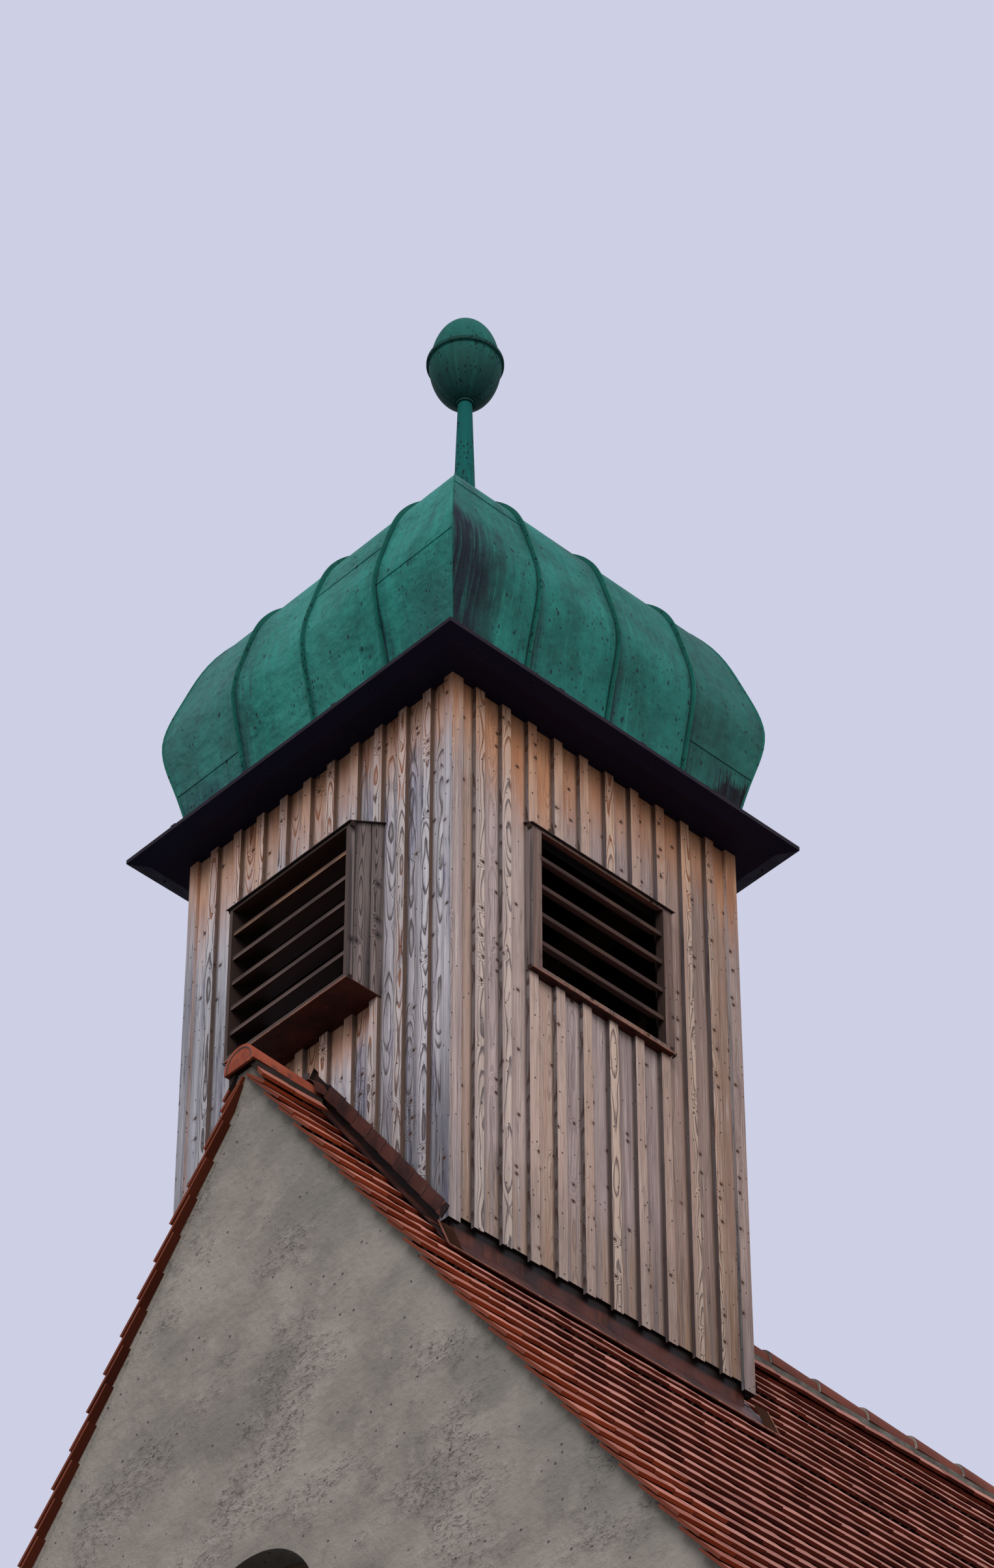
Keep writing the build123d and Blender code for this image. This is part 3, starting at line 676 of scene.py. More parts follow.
def brown_copper(name, dark, light, streak, sheen=0.2):
    """Red-brown copper of the flashings: each sheet has its own tone, with drips and spots."""
    paint = Paint(name)
    x, y, z = paint.axes()
    own = paint.tone()
    run = paint.drawn((x * 24, y * 24, z * 4), 4.0, 0.65)
    cloud = paint.noise(6.0, 4.0)
    speck = paint.spots((x * 38, y * 38, z * 38), (0.3, 0.1), (0.8, 0.9))
    colour = paint.blend((cloud.band(0.3, 0.7) * 0.6 + own * 0.7).math("MINIMUM", 1.0), dark, light)
    colour = paint.coats(
        colour,
        (run.band(0.52, 0.76) * 0.5, streak),
        (run.band(0.44, 0.26) * 0.6, scaled(dark, 0.5)),
        (speck * 0.7, (0.009, 0.006, 0.006)),
    )
    # painted shadow: the upstand just under the foot of the boards and battens is painted nearly black
    shade = (z + (cloud - 0.5) * 0.05).band(SIDE_FOOT - 0.03, SIDE_FOOT - 0.005)
    shade = shade * z.band(SIDE_FOOT + 0.06, SIDE_FOOT + 0.05)
    shade = shade * abs(x).band(LINING_FACE - 0.02, LINING_FACE)
    colour = paint.blend(shade * 0.9, colour, (0.004, 0.003, 0.003))
    rough = run.band(0.2, 0.8, (0.42, 0.62)) if sheen else 0.9
    return paint.finish(colour, rough, cloud * 2.0 + run * 0.3, 0.003, sheen * 0.75, sheen)


def clay(name):
    """Plain clay tiles: pale on top, deep red on the tails and undersides, which is painted shade on every
    face that looks down, and bright at the verge.
    """
    paint = Paint(name)
    x, y, z = paint.axes()
    nx, ny, nz = paint.axes(paint.facing)
    tone = paint.tone()
    own = tone.math("FRACT")
    second = tone.band(0.9, 1.0)
    verge = tone.band(1.9, 2.0) - tone.band(2.9, 3.0)
    # painted shade: every face that looks down, tail or underside, takes the deep red tail colour
    under = nz.band(-0.05, -0.45)
    grit = paint.noise(240.0, 3.0, 0.7)
    cloud = paint.noise(9.0)
    soot = paint.drawn((x * 14, y * 22, z * 9), 4.0, 0.7)
    top = paint.blend(own, (0.21, 0.078, 0.062), (0.4, 0.18, 0.15))
    top = paint.blend(soot.band(0.52, 0.72) * 0.5, top, (0.17, 0.07, 0.055))
    tail = paint.blend(own, (0.05, 0.009, 0.006), (0.16, 0.031, 0.016))
    tail = paint.blend(soot.band(0.5, 0.7) * 0.6, tail, (0.05, 0.01, 0.007))
    bright = paint.blend(own, (0.24, 0.042, 0.014), (0.43, 0.094, 0.034))
    colour = paint.blend(under, top, tail)
    fresh = (second * 0.5 + verge * 0.9).math("MINIMUM", 1.0) * nz.band(0.25, 0.5, (1.0, 0.3))
    colour = paint.blend(fresh * (0.75 + cloud * 0.3), colour, bright)
    # painted shade: the undersides, which show along the verges, go darker still
    below = abs(nx).band(0.66, 0.76) * nz.band(-0.3, -0.5)
    colour = paint.coats(
        colour,
        (below * 0.85, paint.blend(own, (0.04, 0.009, 0.006), (0.085, 0.019, 0.011))),
        # painted shade on the tiles' side faces
        (abs(ny).band(0.6, 0.9) * 0.8, (0.1, 0.026, 0.016)),
        # a tone of 3 would mark a course in painted shade; no tile is given it
        (tone.band(2.9, 3.0), (0.09, 0.026, 0.016)),
        (grit.band(0.55, 0.8) * 0.3, (0.08, 0.026, 0.016)),
    )
    return paint.finish(colour, 0.9, grit * 0.35 + cloud, 0.0016, sheen=0.12)


def ridge_clay(name, share):
    """Brighter clay of the ridge tiles, with soot along the top and grit."""
    paint = Paint(name)
    x, y, z = paint.axes()
    grit = paint.noise(210.0, 3.0, 0.7)
    cloud = paint.drawn((x * 8, y * 5, z * 8), 4.0, 0.62)
    blot = paint.noise(18.0, 4.0)
    weathered = y.band(AXIS_Y - BATTEN_FACE, AXIS_Y)
    colour = paint.blend(cloud.band(0.3, 0.7), (0.17, 0.034, 0.02), (0.3, 0.072, 0.04))
    colour = paint.coats(
        colour,
        (weathered * 0.7, (0.095, 0.036, 0.03)),
        (blot.band(0.56, 0.7) * 0.6, (0.1, 0.04, 0.032)),
        (grit.band(0.55, 0.8) * 0.25, (0.08, 0.03, 0.022)),
        (1.0, (share, share, share), "MULTIPLY"),
    )
    return paint.finish(colour, 0.88, grit * 0.3 + cloud, 0.0016, sheen=0.12)


def plaster():
    """Trowelled lime plaster: leaning strokes, pits, and damp under the verges."""
    paint = Paint("lime plaster")
    x, y, z = paint.axes()
    turn = {"Vector": paint.place, "Rotation": (0, math.radians(40), 0), "Scale": (3.6, 5.0, 9.6)}
    lean = paint.node("ShaderNodeMapping", None, turn).outputs[0]
    stroke = paint.noise(1.0, 6.0, 0.62, lean)
    scrape = paint.noise(3.1, 4.0, 0.6, lean)
    rough = paint.noise(30.0, 5.0, 0.62)
    grain = paint.noise(170.0, 3.0, 0.7)
    cloud = paint.noise(1.5, 4.0, 0.6)
    slope_gap = (RIDGE_Z - abs(x) * math.tan(PITCH) - z) * math.cos(PITCH)
    damp = (slope_gap + (cloud - 0.5) * 0.55 + (rough - 0.5) * 0.12).band(0.42, 0.1)
    mid = paint.noise(6.5, 6.0, 0.68)
    colour = paint.blend(cloud.band(0.32, 0.66), (0.182, 0.163, 0.146), (0.282, 0.246, 0.22))
    colour = paint.coats(
        colour,
        (mid.band(0.42, 0.3) * 0.35, (0.125, 0.113, 0.1)),
        (mid.band(0.56, 0.68) * 0.3, (0.345, 0.308, 0.278)),
        (stroke.band(0.56, 0.72) * 0.3, (0.33, 0.296, 0.268)),
        (stroke.band(0.46, 0.32) * 0.3, (0.13, 0.12, 0.106)),
        (damp * 0.18, (0.18, 0.182, 0.162)),
    )
    patch = paint.noise(1.9).band(0.5, 0.62)
    crease = abs(scrape - 0.5).band(0.024, 0.006) * rough.band(0.46, 0.56) * patch
    colour = paint.blend(crease * 0.45, colour, (0.07, 0.064, 0.058))
    pit = paint.spots((x * 26, y * 26, z * 26), (0.22, 0.1), (0.62, 0.7)) * stroke.band(0.45, 0.58)
    colour = paint.blend(pit * 0.8, colour, (0.05, 0.044, 0.038))
    colour = paint.blend(grain.band(0.55, 0.8) * 0.25, colour, (0.13, 0.117, 0.103))
    height = stroke * (0.6 + patch * 0.8) + mid * 0.9 + rough * (0.75 + patch * 0.75)
    height = height + grain * 0.14 - (crease + pit) * 0.5
    return paint.finish(colour, 0.93, height, 0.01, sheen=0.12)


def mortar(name, share):
    """Grey mortar of the ridge tiles' bed and joints."""
    paint = Paint(name)
    grain = paint.noise(120.0, 3.0, 0.7)
    cloud = paint.noise(11.0, 4.0)
    colour = paint.blend(cloud.band(0.3, 0.7), (0.07, 0.062, 0.055), (0.15, 0.135, 0.12))
    colour = paint.blend(1.0, colour, (share, share, share), "MULTIPLY")
    colour = paint.blend(grain.band(0.5, 0.8) * 0.4, colour, (0.04, 0.035, 0.03))
    # painted shade: the mortar of the front run is painted nearly black
    front_run_shade = paint.axes()[1].band(AXIS_Y - BATTEN_FACE + 0.1, AXIS_Y - BATTEN_FACE)
    colour = paint.blend(front_run_shade * 0.9, colour, (0.016, 0.008, 0.007))
    return paint.finish(colour, 0.95, cloud * 2.0 + grain * 0.5, 0.006, sheen=0.2)


def sawn_timber(name, light, dark, scale):
    """Sawn timber whose grain runs along the axis with the smallest scale."""
    paint = Paint(name)
    mapped = paint.node("ShaderNodeMapping", None, {"Vector": paint.place, "Scale": scale}).outputs[0]
    grain = paint.noise(1.0, 4.0, 0.65, mapped)
    cloud = paint.noise(2.0)
    colour = paint.blend(grain, dark, light)
    colour = paint.blend(cloud * 0.4, colour, scaled(dark, 0.6))
    return paint.finish(colour, 0.8, grain, 0.002, sheen=0.3)


def pane():
    """Old window glass, dark against the room behind it."""
    paint = Paint("window glass")
    wave = paint.noise(5.0, 2.0)
    paint.feed(paint.shader, {"Transmission Weight": 0.35})
    return paint.finish((0.035, 0.042, 0.048), wave.band(0.3, 0.7, (0.05, 0.12)), wave, 0.002)


def rusty_iron():
    """Dark round heads of nails and screws, rusted at the rim."""
    paint = Paint("nail iron")
    cloud = paint.noise(90.0)
    colour = paint.blend(cloud, (0.01, 0.007, 0.007), (0.045, 0.024, 0.018))
    return paint.finish(colour, 0.6, cloud, 0.0006)


def clad(material, *nodes):
    """Gives nodes of the solids their finish."""
    for node in nodes:
        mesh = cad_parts[node].data
        mesh.materials.clear()
        mesh.materials.append(material)


# Sizes and colours that a user may change


class ChurchSettings(bpy.types.PropertyGroup):
    tile_width: bpy.props.FloatProperty(
        name="Tile width", description="Width of one plain tile",
        default=0.184, min=0.1, max=0.3, unit="LENGTH",
    )
    tile_gauge: bpy.props.FloatProperty(
        name="Tile gauge", description="Visible length of a course",
        default=0.1757, min=0.1, max=0.3, unit="LENGTH",
    )
    tile_length: bpy.props.FloatProperty(
        name="Tile length", description="Whole length of one plain tile",
        default=0.32, min=0.2, max=0.4, unit="LENGTH",
    )
    tile_thickness: bpy.props.FloatProperty(
        name="Tile thickness", description="Thickness of one plain tile",
        default=0.0155, min=0.008, max=0.03, unit="LENGTH",
    )
    ridge_pitch: bpy.props.FloatProperty(
        name="Ridge tile pitch", description="Distance between ridge tile joints",
        default=0.32, min=0.2, max=0.5, unit="LENGTH",
    )
    background: bpy.props.FloatVectorProperty(
        name="Background", description="Pale colour behind the building",
        subtype="COLOR", default=(0.612, 0.63, 0.78), min=0, max=1,
    )
    daylight: bpy.props.FloatProperty(
        name="Daylight", description="Strength of the soft light from all around",
        default=0.85, min=0, max=3,
    )
    sunlight: bpy.props.FloatProperty(
        name="Sunlight", description="Strength of the light from high in front",
        default=2.0, min=0, max=6,
    )


# Operators


class CHURCH_OT_stage(bpy.types.Operator):
    """Makes the floor, the soft daylight and the camera"""

    bl_idname = "church.stage"
    bl_label = "Stage"

    def execute(self, context):
        scene = context.scene
        scene.view_settings.view_transform = "Standard"
        self.daylight(scene)
        self.floor(scene)
        self.camera(scene)
        return {"FINISHED"}

    def daylight(self, scene):
        """Even light from the sky, a pale background, and two wide soft lamps."""
        world = bpy.data.worlds.new("daylight")
        scene.world = world
        world.use_nodes = True
        world.node_tree.nodes.clear()
        tree = Tree(world.node_tree)
        shown = tree.node("ShaderNodeBackground", None, {"Color": tuple(settings().background)})
        sky = {"Color": (0.93, 0.96, 1.0), "Strength": settings().daylight}
        light = tree.node("ShaderNodeBackground", None, sky)
        seen = tree.value("ShaderNodeLightPath", output="Is Camera Ray")
        for kind in ("Glossy", "Transmission"):
            seen = seen.math("MAXIMUM", tree.value("ShaderNodeLightPath", output=f"Is {kind} Ray"))
        mix = tree.node("ShaderNodeMixShader", None, {0: seen, 1: light.outputs[0], 2: shown.outputs[0]})
        tree.node("ShaderNodeOutputWorld", None, {0: mix.outputs[0]})
        for name, share, lean, turn, angle in (("key", 1.0, 60, 36, 34), ("fill", 0.3, 66, 96, 50)):
            lamp = bpy.data.lights.new(name, "SUN")
            lamp.energy = share * settings().sunlight
            lamp.angle = math.radians(angle)
            lamp.color = (1.0, 0.98, 0.95)
            holder = bpy.data.objects.new(name, lamp)
            holder.rotation_euler = (math.radians(lean), 0, math.radians(turn))
            scene.collection.objects.link(holder)

    def floor(self, scene):
        """A pale floor that the low camera looks through and that throws little light upwards."""
        bm = bmesh.new()
        bmesh.ops.create_circle(bm, cap_ends=True, segments=64, radius=60)
        mesh = as_mesh(bm, "floor")
        floor = bpy.data.objects.new("floor", mesh)
        floor.location.z = -0.002
        scene.collection.objects.link(floor)
        material = bpy.data.materials.new("floor")
        material.use_nodes = True
        tree = Tree(material.node_tree)
        camera_ray = tree.value("ShaderNodeLightPath", output="Is Camera Ray")
        from_below = tree.value("ShaderNodeNewGeometry", output="Backfacing") * camera_ray
        matt = material.node_tree.nodes["Principled BSDF"]
        colour = tree.blend(camera_ray, (0.1, 0.1, 0.1), (0.62, 0.62, 0.64))
        tree.feed(matt, {"Base Color": colour, "Roughness": 0.9})
        empty = tree.node("ShaderNodeBsdfTransparent")
        shaders = {0: from_below, 1: matt.outputs[0], 2: empty.outputs[0]}
        mix = tree.node("ShaderNodeMixShader", None, shaders)
        tree.feed(material.node_tree.nodes["Material Output"], {0: mix.outputs[0]})
        mesh.materials.append(material)

    def camera(self, scene):
        """A far viewpoint, low down and looking steeply up, with a small upright shift."""
        lens = bpy.data.cameras.new("camera")
        lens.lens = 127.1
        lens.sensor_width = 36
        lens.shift_y = 0.1
        lens.clip_end = 400
        upward = 0.7228
        turn = 0.8151
        holder = bpy.data.objects.new("camera", lens)
        holder.location = (13.8837, -14.3532, -8.4641)
        holder.rotation_euler = Euler((math.pi / 2 + upward, 0, turn))
        scene.collection.objects.link(holder)
        scene.camera = holder


class CHURCH_OT_walls(bpy.types.Operator):
    """Plasters the walls and finishes the windows and the timber under the roof"""

    bl_idname = "church.walls"
    bl_label = "Walls and windows"

    def execute(self, context):
        clad(plaster(), "gable_wall_front", "gable_wall_rear", "side_wall_left", "side_wall_right")
        frames = sawn_timber("window timber", (0.16, 0.1, 0.065), (0.07, 0.045, 0.03), (40, 40, 2.5))
        clad(frames, "window_frames")
        clad(pane(), "window_glass")
        rafters = sawn_timber("sawn timber", (0.14, 0.088, 0.052), (0.07, 0.042, 0.026), (40, 1.6, 40))
        clad(rafters, "roof_deck_left", "roof_deck_right", "top_plate")
        posts = sawn_timber("post timber", (0.11, 0.07, 0.042), (0.055, 0.034, 0.02), (40, 40, 1.6))
        clad(posts, "corner_posts")
        self.bars(frames)
        return {"FINISHED"}

    def bars(self, wood):
        """A slim upright and two cross bars on both faces of each window's glass."""
        low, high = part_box("window_glass")
        centre = (low.x + high.x) / 2
        glass = 0.008
        from_glass = 0.012
        bevel = 0.003
        bm = bmesh.new()
        for middle in (low.y + glass / 2, high.y - glass / 2):
            for y in (middle - from_glass, middle + from_glass):
                foot = (centre - 0.014, y - 0.008, low.z)
                join(bm, block(foot, (centre + 0.014, y + 0.008, high.z), bevel), HERE)
                for height in (0.36, 0.74):
                    z = low.z + height
                    bar = block((low.x, y - 0.007, z - 0.012), (high.x, y + 0.007, z + 0.012), bevel)
                    join(bm, bar, HERE)
        commit(bm, "window_bars", [wood])


class CHURCH_OT_tiles(bpy.types.Operator):
    """Lays plain tiles over both slopes"""

    bl_idname = "church.tiles"
    bl_label = "Plain tiles"

    def execute(self, context):
        finish = clay("plain clay")
        self.slope("right", HERE, finish, 11)
        self.slope("left", HALF_TURN, finish, 29)
        self.verge_beds()
        return {"FINISHED"}

    def verge_beds(self):
        """Plaster pressed up under the tiles along the four verges, so that each course steps."""
        values = settings()
        gauge = values.tile_gauge
        lap = values.tile_length - gauge
        rise = values.tile_thickness + TILE_GAP
        wall = abs(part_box("gable_wall_front")[0].y)
        bm = bmesh.new()
        for turn in (HERE, HALF_TURN):
            for course in range(int(SLOPE_LENGTH / gauge)):
                tail = SLOPE_LENGTH - course * gauge
                head = tail - values.tile_length
                if head < 0.02:
                    continue
                for hand in (-1, 1):
                    bed = block((head, -0.012, -0.02), (tail - lap, 0.012, 0.0))
                    for vert in bed.verts:
                        if vert.co.x > head + 0.01 and vert.co.z > -0.01:
                            vert.co.z += rise - 0.002
                    spot = Vector((0, hand * (wall - 0.0105), RIDGE_Z)) - roof_out() * TILE_LAYER
                    join(bm, bed, turn @ Matrix.Translation(spot) @ tilt(PITCH, "Y"))
        commit(bm, "verge_beds", [bpy.data.materials["lime plaster"]])

    def one_tile(self, width):
        """A tile with its tail at the origin and its head uphill; its tail is nearly straight."""
        values = settings()
        part = bmesh.new()
        place = shift(-values.tile_length / 2, 0, 0)
        place = place @ Matrix.Diagonal((values.tile_length, width, 1, 1))
        bmesh.ops.create_grid(part, x_segments=1, y_segments=2, size=0.5, matrix=place)
        for vert in part.verts:
            if vert.co.x > -0.01:
                vert.co.x -= 0.001 * (2 * vert.co.y / width) ** 2
        pushed(part, part.faces[:], (0, 0, values.tile_thickness))
        bmesh.ops.recalc_face_normals(part, faces=part.faces)
        return as_mesh(part, "one tile")

    def edges(self, columns, course):
        """Where the tiles of a course meet, in tile widths: staggered, with whole tiles at the verges."""
        inner = [1 + index + course % 2 / 2 for index in range(columns - 2)]
        return [0.0, 1.0, *(edge for edge in inner if edge > 1.0), columns - 1.0, float(columns)]

    def slope(self, side, turn, finish, seed):
        """Fills one slope with courses of tiles, each tile a little out of line."""
        values = settings()
        pick = random.Random(seed)
        tile = self.one_tile(values.tile_width - 0.003)
        corners = [vert.co.copy() for vert in tile.vertices]
        face_count = len(tile.polygons)
        rise_by_run = (values.tile_thickness + TILE_GAP) / values.tile_gauge
        rest = TILE_LAYER - values.tile_thickness - 0.0015
        columns = round((VERGE_REAR - VERGE_FRONT) / values.tile_width)
        width = (VERGE_REAR - VERGE_FRONT) / columns
        down = Vector((math.cos(PITCH), 0, -math.sin(PITCH)))
        out = roof_out()
        top = Vector((0, 0, RIDGE_Z)) - out * TILE_LAYER
        rows = Matrix((down, Vector((0, 1, 0)), out)).transposed().to_4x4()
        place = turn @ Matrix.Translation(top) @ rows
        facing = 1 if turn[0][0] > 0 else -1
        hole = BOARD_FACE - 0.02
        hole_slope = hole / math.cos(PITCH)
        propped = (19, 26)
        prop_height = 0.006
        top_tail = 0.215
        bedded = 0.018
        under_ridge = 0.085
        half_joint = 0.0005
        bm = bmesh.new()
        tones = []
        nibs = []
        for course in range(int(SLOPE_LENGTH / values.tile_gauge) + 1):
            tail = SLOPE_LENGTH - course * values.tile_gauge
            topmost = tail < 0.15
            if topmost:
                tail = top_tail
            prop = prop_height if course in propped else 0.0
            cuts = self.edges(columns, course)
            for left, right in zip(cuts, cuts[1:]):
                if right - left < 0.2:
                    continue
                y_left, y_right = (facing * (VERGE_FRONT + cut * width) for cut in (left, right))
                middle = (y_left + y_right) / 2
                beside_turret = abs(middle * facing - AXIS_Y) < hole
                if beside_turret and tail < hole_slope:
                    continue
                before = len(bm.verts)
                bm.from_mesh(tile)
                bm.verts.ensure_lookup_table()
                share = abs(y_right - y_left) / width
                swing = pick.uniform(-0.008, 0.008)
                raised = pick.uniform(-0.0013, 0.0005) + prop
                tip = facing * pick.uniform(-0.01, 0.03)
                from_verge = min(left, columns - right)
                at_verge = from_verge < 0.5
                near_front = middle * facing < AXIS_Y - BATTEN_FACE
                slip = pick.uniform(-0.003, 0.0)
                low = min(y_left, y_right) + half_joint
                high = max(y_left, y_right) - half_joint
                for index, corner in enumerate(corners):
                    s = max(tail + corner.x + slip + corner.y * swing, under_ridge)
                    if beside_turret:
                        s = max(s, hole_slope)
                    y = min(max(middle + corner.y * share - corner.x * swing * 0.3, low), high)
                    height = corner.z + raised + rest + corner.x * rise_by_run + corner.y * tip
                    if topmost:
                        # the top course is cut short and bedded flat under the ridge tiles
                        height = corner.z + raised + rest + corner.y * tip + bedded
                    if course == 0:
                        height = min(height, TILE_LAYER)
                    if at_verge and corner.x < -0.1:
                        y = min(max(y, low + 0.01), high - 0.01)
                    bm.verts[before + index].co = place @ Vector((s, y, max(height, 0.0)))
                # the tone's whole number is 2 for a verge tile, 1 for the tile beside it, else 0
                kind = 1.0 if from_verge < 1.6 else 0.0
                if at_verge or topmost and near_front:
                    kind = 2.0
                tones += [kind + pick.uniform(0.05, 0.9)] * face_count
                if prop:
                    nibs += [(tail, middle + offset * share) for offset in (-0.055, 0.0, 0.055)]
        bmesh.ops.recalc_face_normals(bm, faces=bm.faces)
        store_tones(bm, tones)
        # small nibs in the dark nail iron finish show in the gap under the two propped courses, as painted
        # shade
        for tail, y in nibs:
            stud(bm, place @ shift(tail - 0.008, y, rest - 0.001), 0.007, 0.01, 0.014, 6, 1)
        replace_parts(commit(bm, f"plain_tiles_{side}", [finish, rusty_iron()]), f"tiles_{side}")


class CHURCH_OT_ridge(bpy.types.Operator):
    """Sets the ridge tiles, with a disc at each end, on their mortar"""

    bl_idname = "church.ridge"
    bl_label = "Ridge tiles"

    def execute(self, context):
        clad(mortar("mortar", 0.9), "ridge_mortar")
        bm = bmesh.new()
        self.run(bm, RIDGE_FRONT, AXIS_Y - BATTEN_FACE)
        self.run(bm, AXIS_Y + BATTEN_FACE, RIDGE_REAR)
        for y, outward in ((RIDGE_FRONT, -1), (RIDGE_REAR, 1)):
            self.disc(bm, y, outward)
            # the plaster grows out of the wall under the disc
            half, deep, down = 0.066, 0.03, 0.19
            haunch = block((-half, -deep, -down), (half, deep, -RIDGE_LEG))
            for vert in haunch.verts:
                if vert.co.z < -0.1:
                    vert.co.x *= 1.9
                    vert.co.y -= outward * 0.011
                elif vert.co.y * outward > 0:
                    vert.co.y += outward * 0.03
            join(bm, haunch, shift(0, y - outward * 0.1, RIDGE_AXIS), 3)
        finishes = [
            ridge_clay("ridge clay", 1.0),
            mortar("joint mortar", 2.2),
            rusty_iron(),
            bpy.data.materials["lime plaster"],
            ridge_clay("disc clay", 0.88),
        ]
        piece = commit(bm, "ridge_tile_run", finishes, 35)
        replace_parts(piece, "ridge_tiles")
        return {"FINISHED"}

    def run(self, bm, start, end):
        """A row of ridge tiles, each with its wide end over the next one's narrow end."""
        pitch = settings().ridge_pitch
        thickness = 0.013
        lap = 0.035
        joint = 0.006
        cover_length = 0.03
        taper = (RIDGE_RADIUS - 0.014) / RIDGE_RADIUS
        single = end - start < 1.5 * pitch
        y = start
        while y < end - 0.05:
            length = end - y if single else min(pitch + lap, end - y)
            near = RIDGE_RADIUS if y > start or single else RIDGE_RADIUS - 0.008
            join(bm, arch(near, thickness, RIDGE_LEG, length, taper), shift(0, y, RIDGE_AXIS))
            if y > start:
                bedding = arch(RIDGE_RADIUS - 0.002, 0.014, RIDGE_LEG, joint, 0.985)
                join(bm, bedding, shift(0, y - joint, RIDGE_AXIS), 1)
            y += length if single else pitch
        if end > RIDGE_REAR - 0.01:
            cover = arch(RIDGE_RADIUS, thickness, RIDGE_LEG, cover_length, 1.0)
            join(bm, cover, shift(0, RIDGE_REAR - cover_length, RIDGE_AXIS))

    def disc(self, bm, y, outward):
        """The end tile's disc, set in behind a raised rim, with a small hole; the groove and the hole are
        dark pieces of painted shade.
        """
        part = bmesh.new()
        upright = tilt(math.pi / 2, "X")
        thickness = 0.012
        radius = RIDGE_RADIUS - 0.012
        bmesh.ops.create_circle(part, cap_ends=True, segments=36, radius=radius, matrix=upright)
        cut = {"plane_co": (0, 0, -RIDGE_LEG), "plane_no": (0, 0, -1), "clear_outer": True}
        bmesh.ops.bisect_plane(part, geom=part.verts[:] + part.edges[:] + part.faces[:], **cut)
        bmesh.ops.inset_region(part, faces=part.faces[:], thickness=0.006, depth=0)
        middle = max(part.faces, key=lambda face: face.calc_area())
        bmesh.ops.translate(part, vec=(0, outward * 0.0035, 0), verts=middle.verts[:])
        pushed(part, part.faces[:], (0, -outward * thickness, 0))
        join(bm, part, shift(0, y - outward * thickness / 2, RIDGE_AXIS), 4)
        # painted shade: a thin ring in the dark nail iron finish fills the groove between rim and disc
        groove_shade = arch(radius - 0.0005, 0.006, RIDGE_LEG, 0.002, 1.0)
        join(bm, groove_shade, shift(0, y - outward * 0.0015 - 0.001, RIDGE_AXIS), 2)
        # painted shade: the small hole is a shallow dark disc in the nail iron finish
        hole = shift(-0.012, y - outward * 0.0022, RIDGE_AXIS + 0.028) @ upright
        stud(bm, hole, 0.0034, 0.0034, 0.002, 8, 2)


def arch(radius, thickness, leg, length, taper):
    """A half-round tile on short legs that runs along Y and narrows towards its far end."""
    part = bmesh.new()
    ends = [part.verts.new((radius - thickness, 0, 0)), part.verts.new((radius, 0, 0))]
    first = part.edges.new(ends)
    spun = bmesh.ops.spin(
        part, geom=[*ends, first], cent=(0, 0, 0), axis=(0, -1, 0), angle=math.pi, steps=14, use_merge=False
    )
    last = [item for item in spun["geom_last"] if isinstance(item, bmesh.types.BMEdge)]
    moved(part, bmesh.ops.extrude_edge_only(part, edges=[first, *last]), (0, 0, -leg))
    far = pushed(part, part.faces[:], (0, length, 0))
    bmesh.ops.scale(part, vec=(taper, 1, taper), verts=far)
    return part


class CHURCH_OT_turret(bpy.types.Operator):
    """Finishes the boarded turret and drives the nails in its battens"""

    bl_idname = "church.turret"
    bl_label = "Turret boards"

    def execute(self, context):
        half = BATTEN_PITCH / 2
        low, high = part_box("louvre_box_front")
        shelter = (low.x, high.x, low.z)
        boards = larch("turret boards", -half, BATTEN_PITCH, 3, "board", shelter)
        clad(boards, *(f"turret_wall_{side}" for side in SIDES))
        battens = larch("turret battens", 0.0, BATTEN_PITCH, 90, "batten", shelter)
        clad(battens, *(f"battens_{side}" for side in SIDES))
        clad(larch("corner boards", -0.05, BATTEN_PITCH, 150, "corner"), "corner_boards")
        for seed, side in enumerate(SIDES, 8):
            clad(larch(f"louvre box {side}", 0.005, 0.095, seed, "box", None, side), f"louvre_box_{side}")
            clad(slat_wood(side), f"louvre_slats_{side}")
        self.nails()
        return {"FINISHED"}

    def nails(self):
        """Round nail heads up the middle of every batten."""
        pick = random.Random(5)
        bm = bmesh.new()
        battens = 10
        first_below_top = 0.09
        nail_pitch = 0.33
        for side in SIDES:
            look = looker(f"battens_{side}", side)
            for index in range(battens):
                z = TURRET_TOP - first_below_top
                while z > EAVE_Z:
                    x = (index - (battens - 1) / 2) * BATTEN_PITCH + pick.uniform(-0.012, 0.012)
                    spot = Vector((x, -BATTEN_FACE - 0.05, z + pick.uniform(-0.02, 0.02)))
                    if look(spot, 0.055) is not None:
                        place = turned(side) @ shift(spot.x, -BATTEN_FACE, spot.z)
                        stud(bm, place @ tilt(math.pi / 2, "X"), 0.0052, 0.004, 0.003, 8)
                    z -= nail_pitch
        commit(bm, "batten_nails", [rusty_iron()])


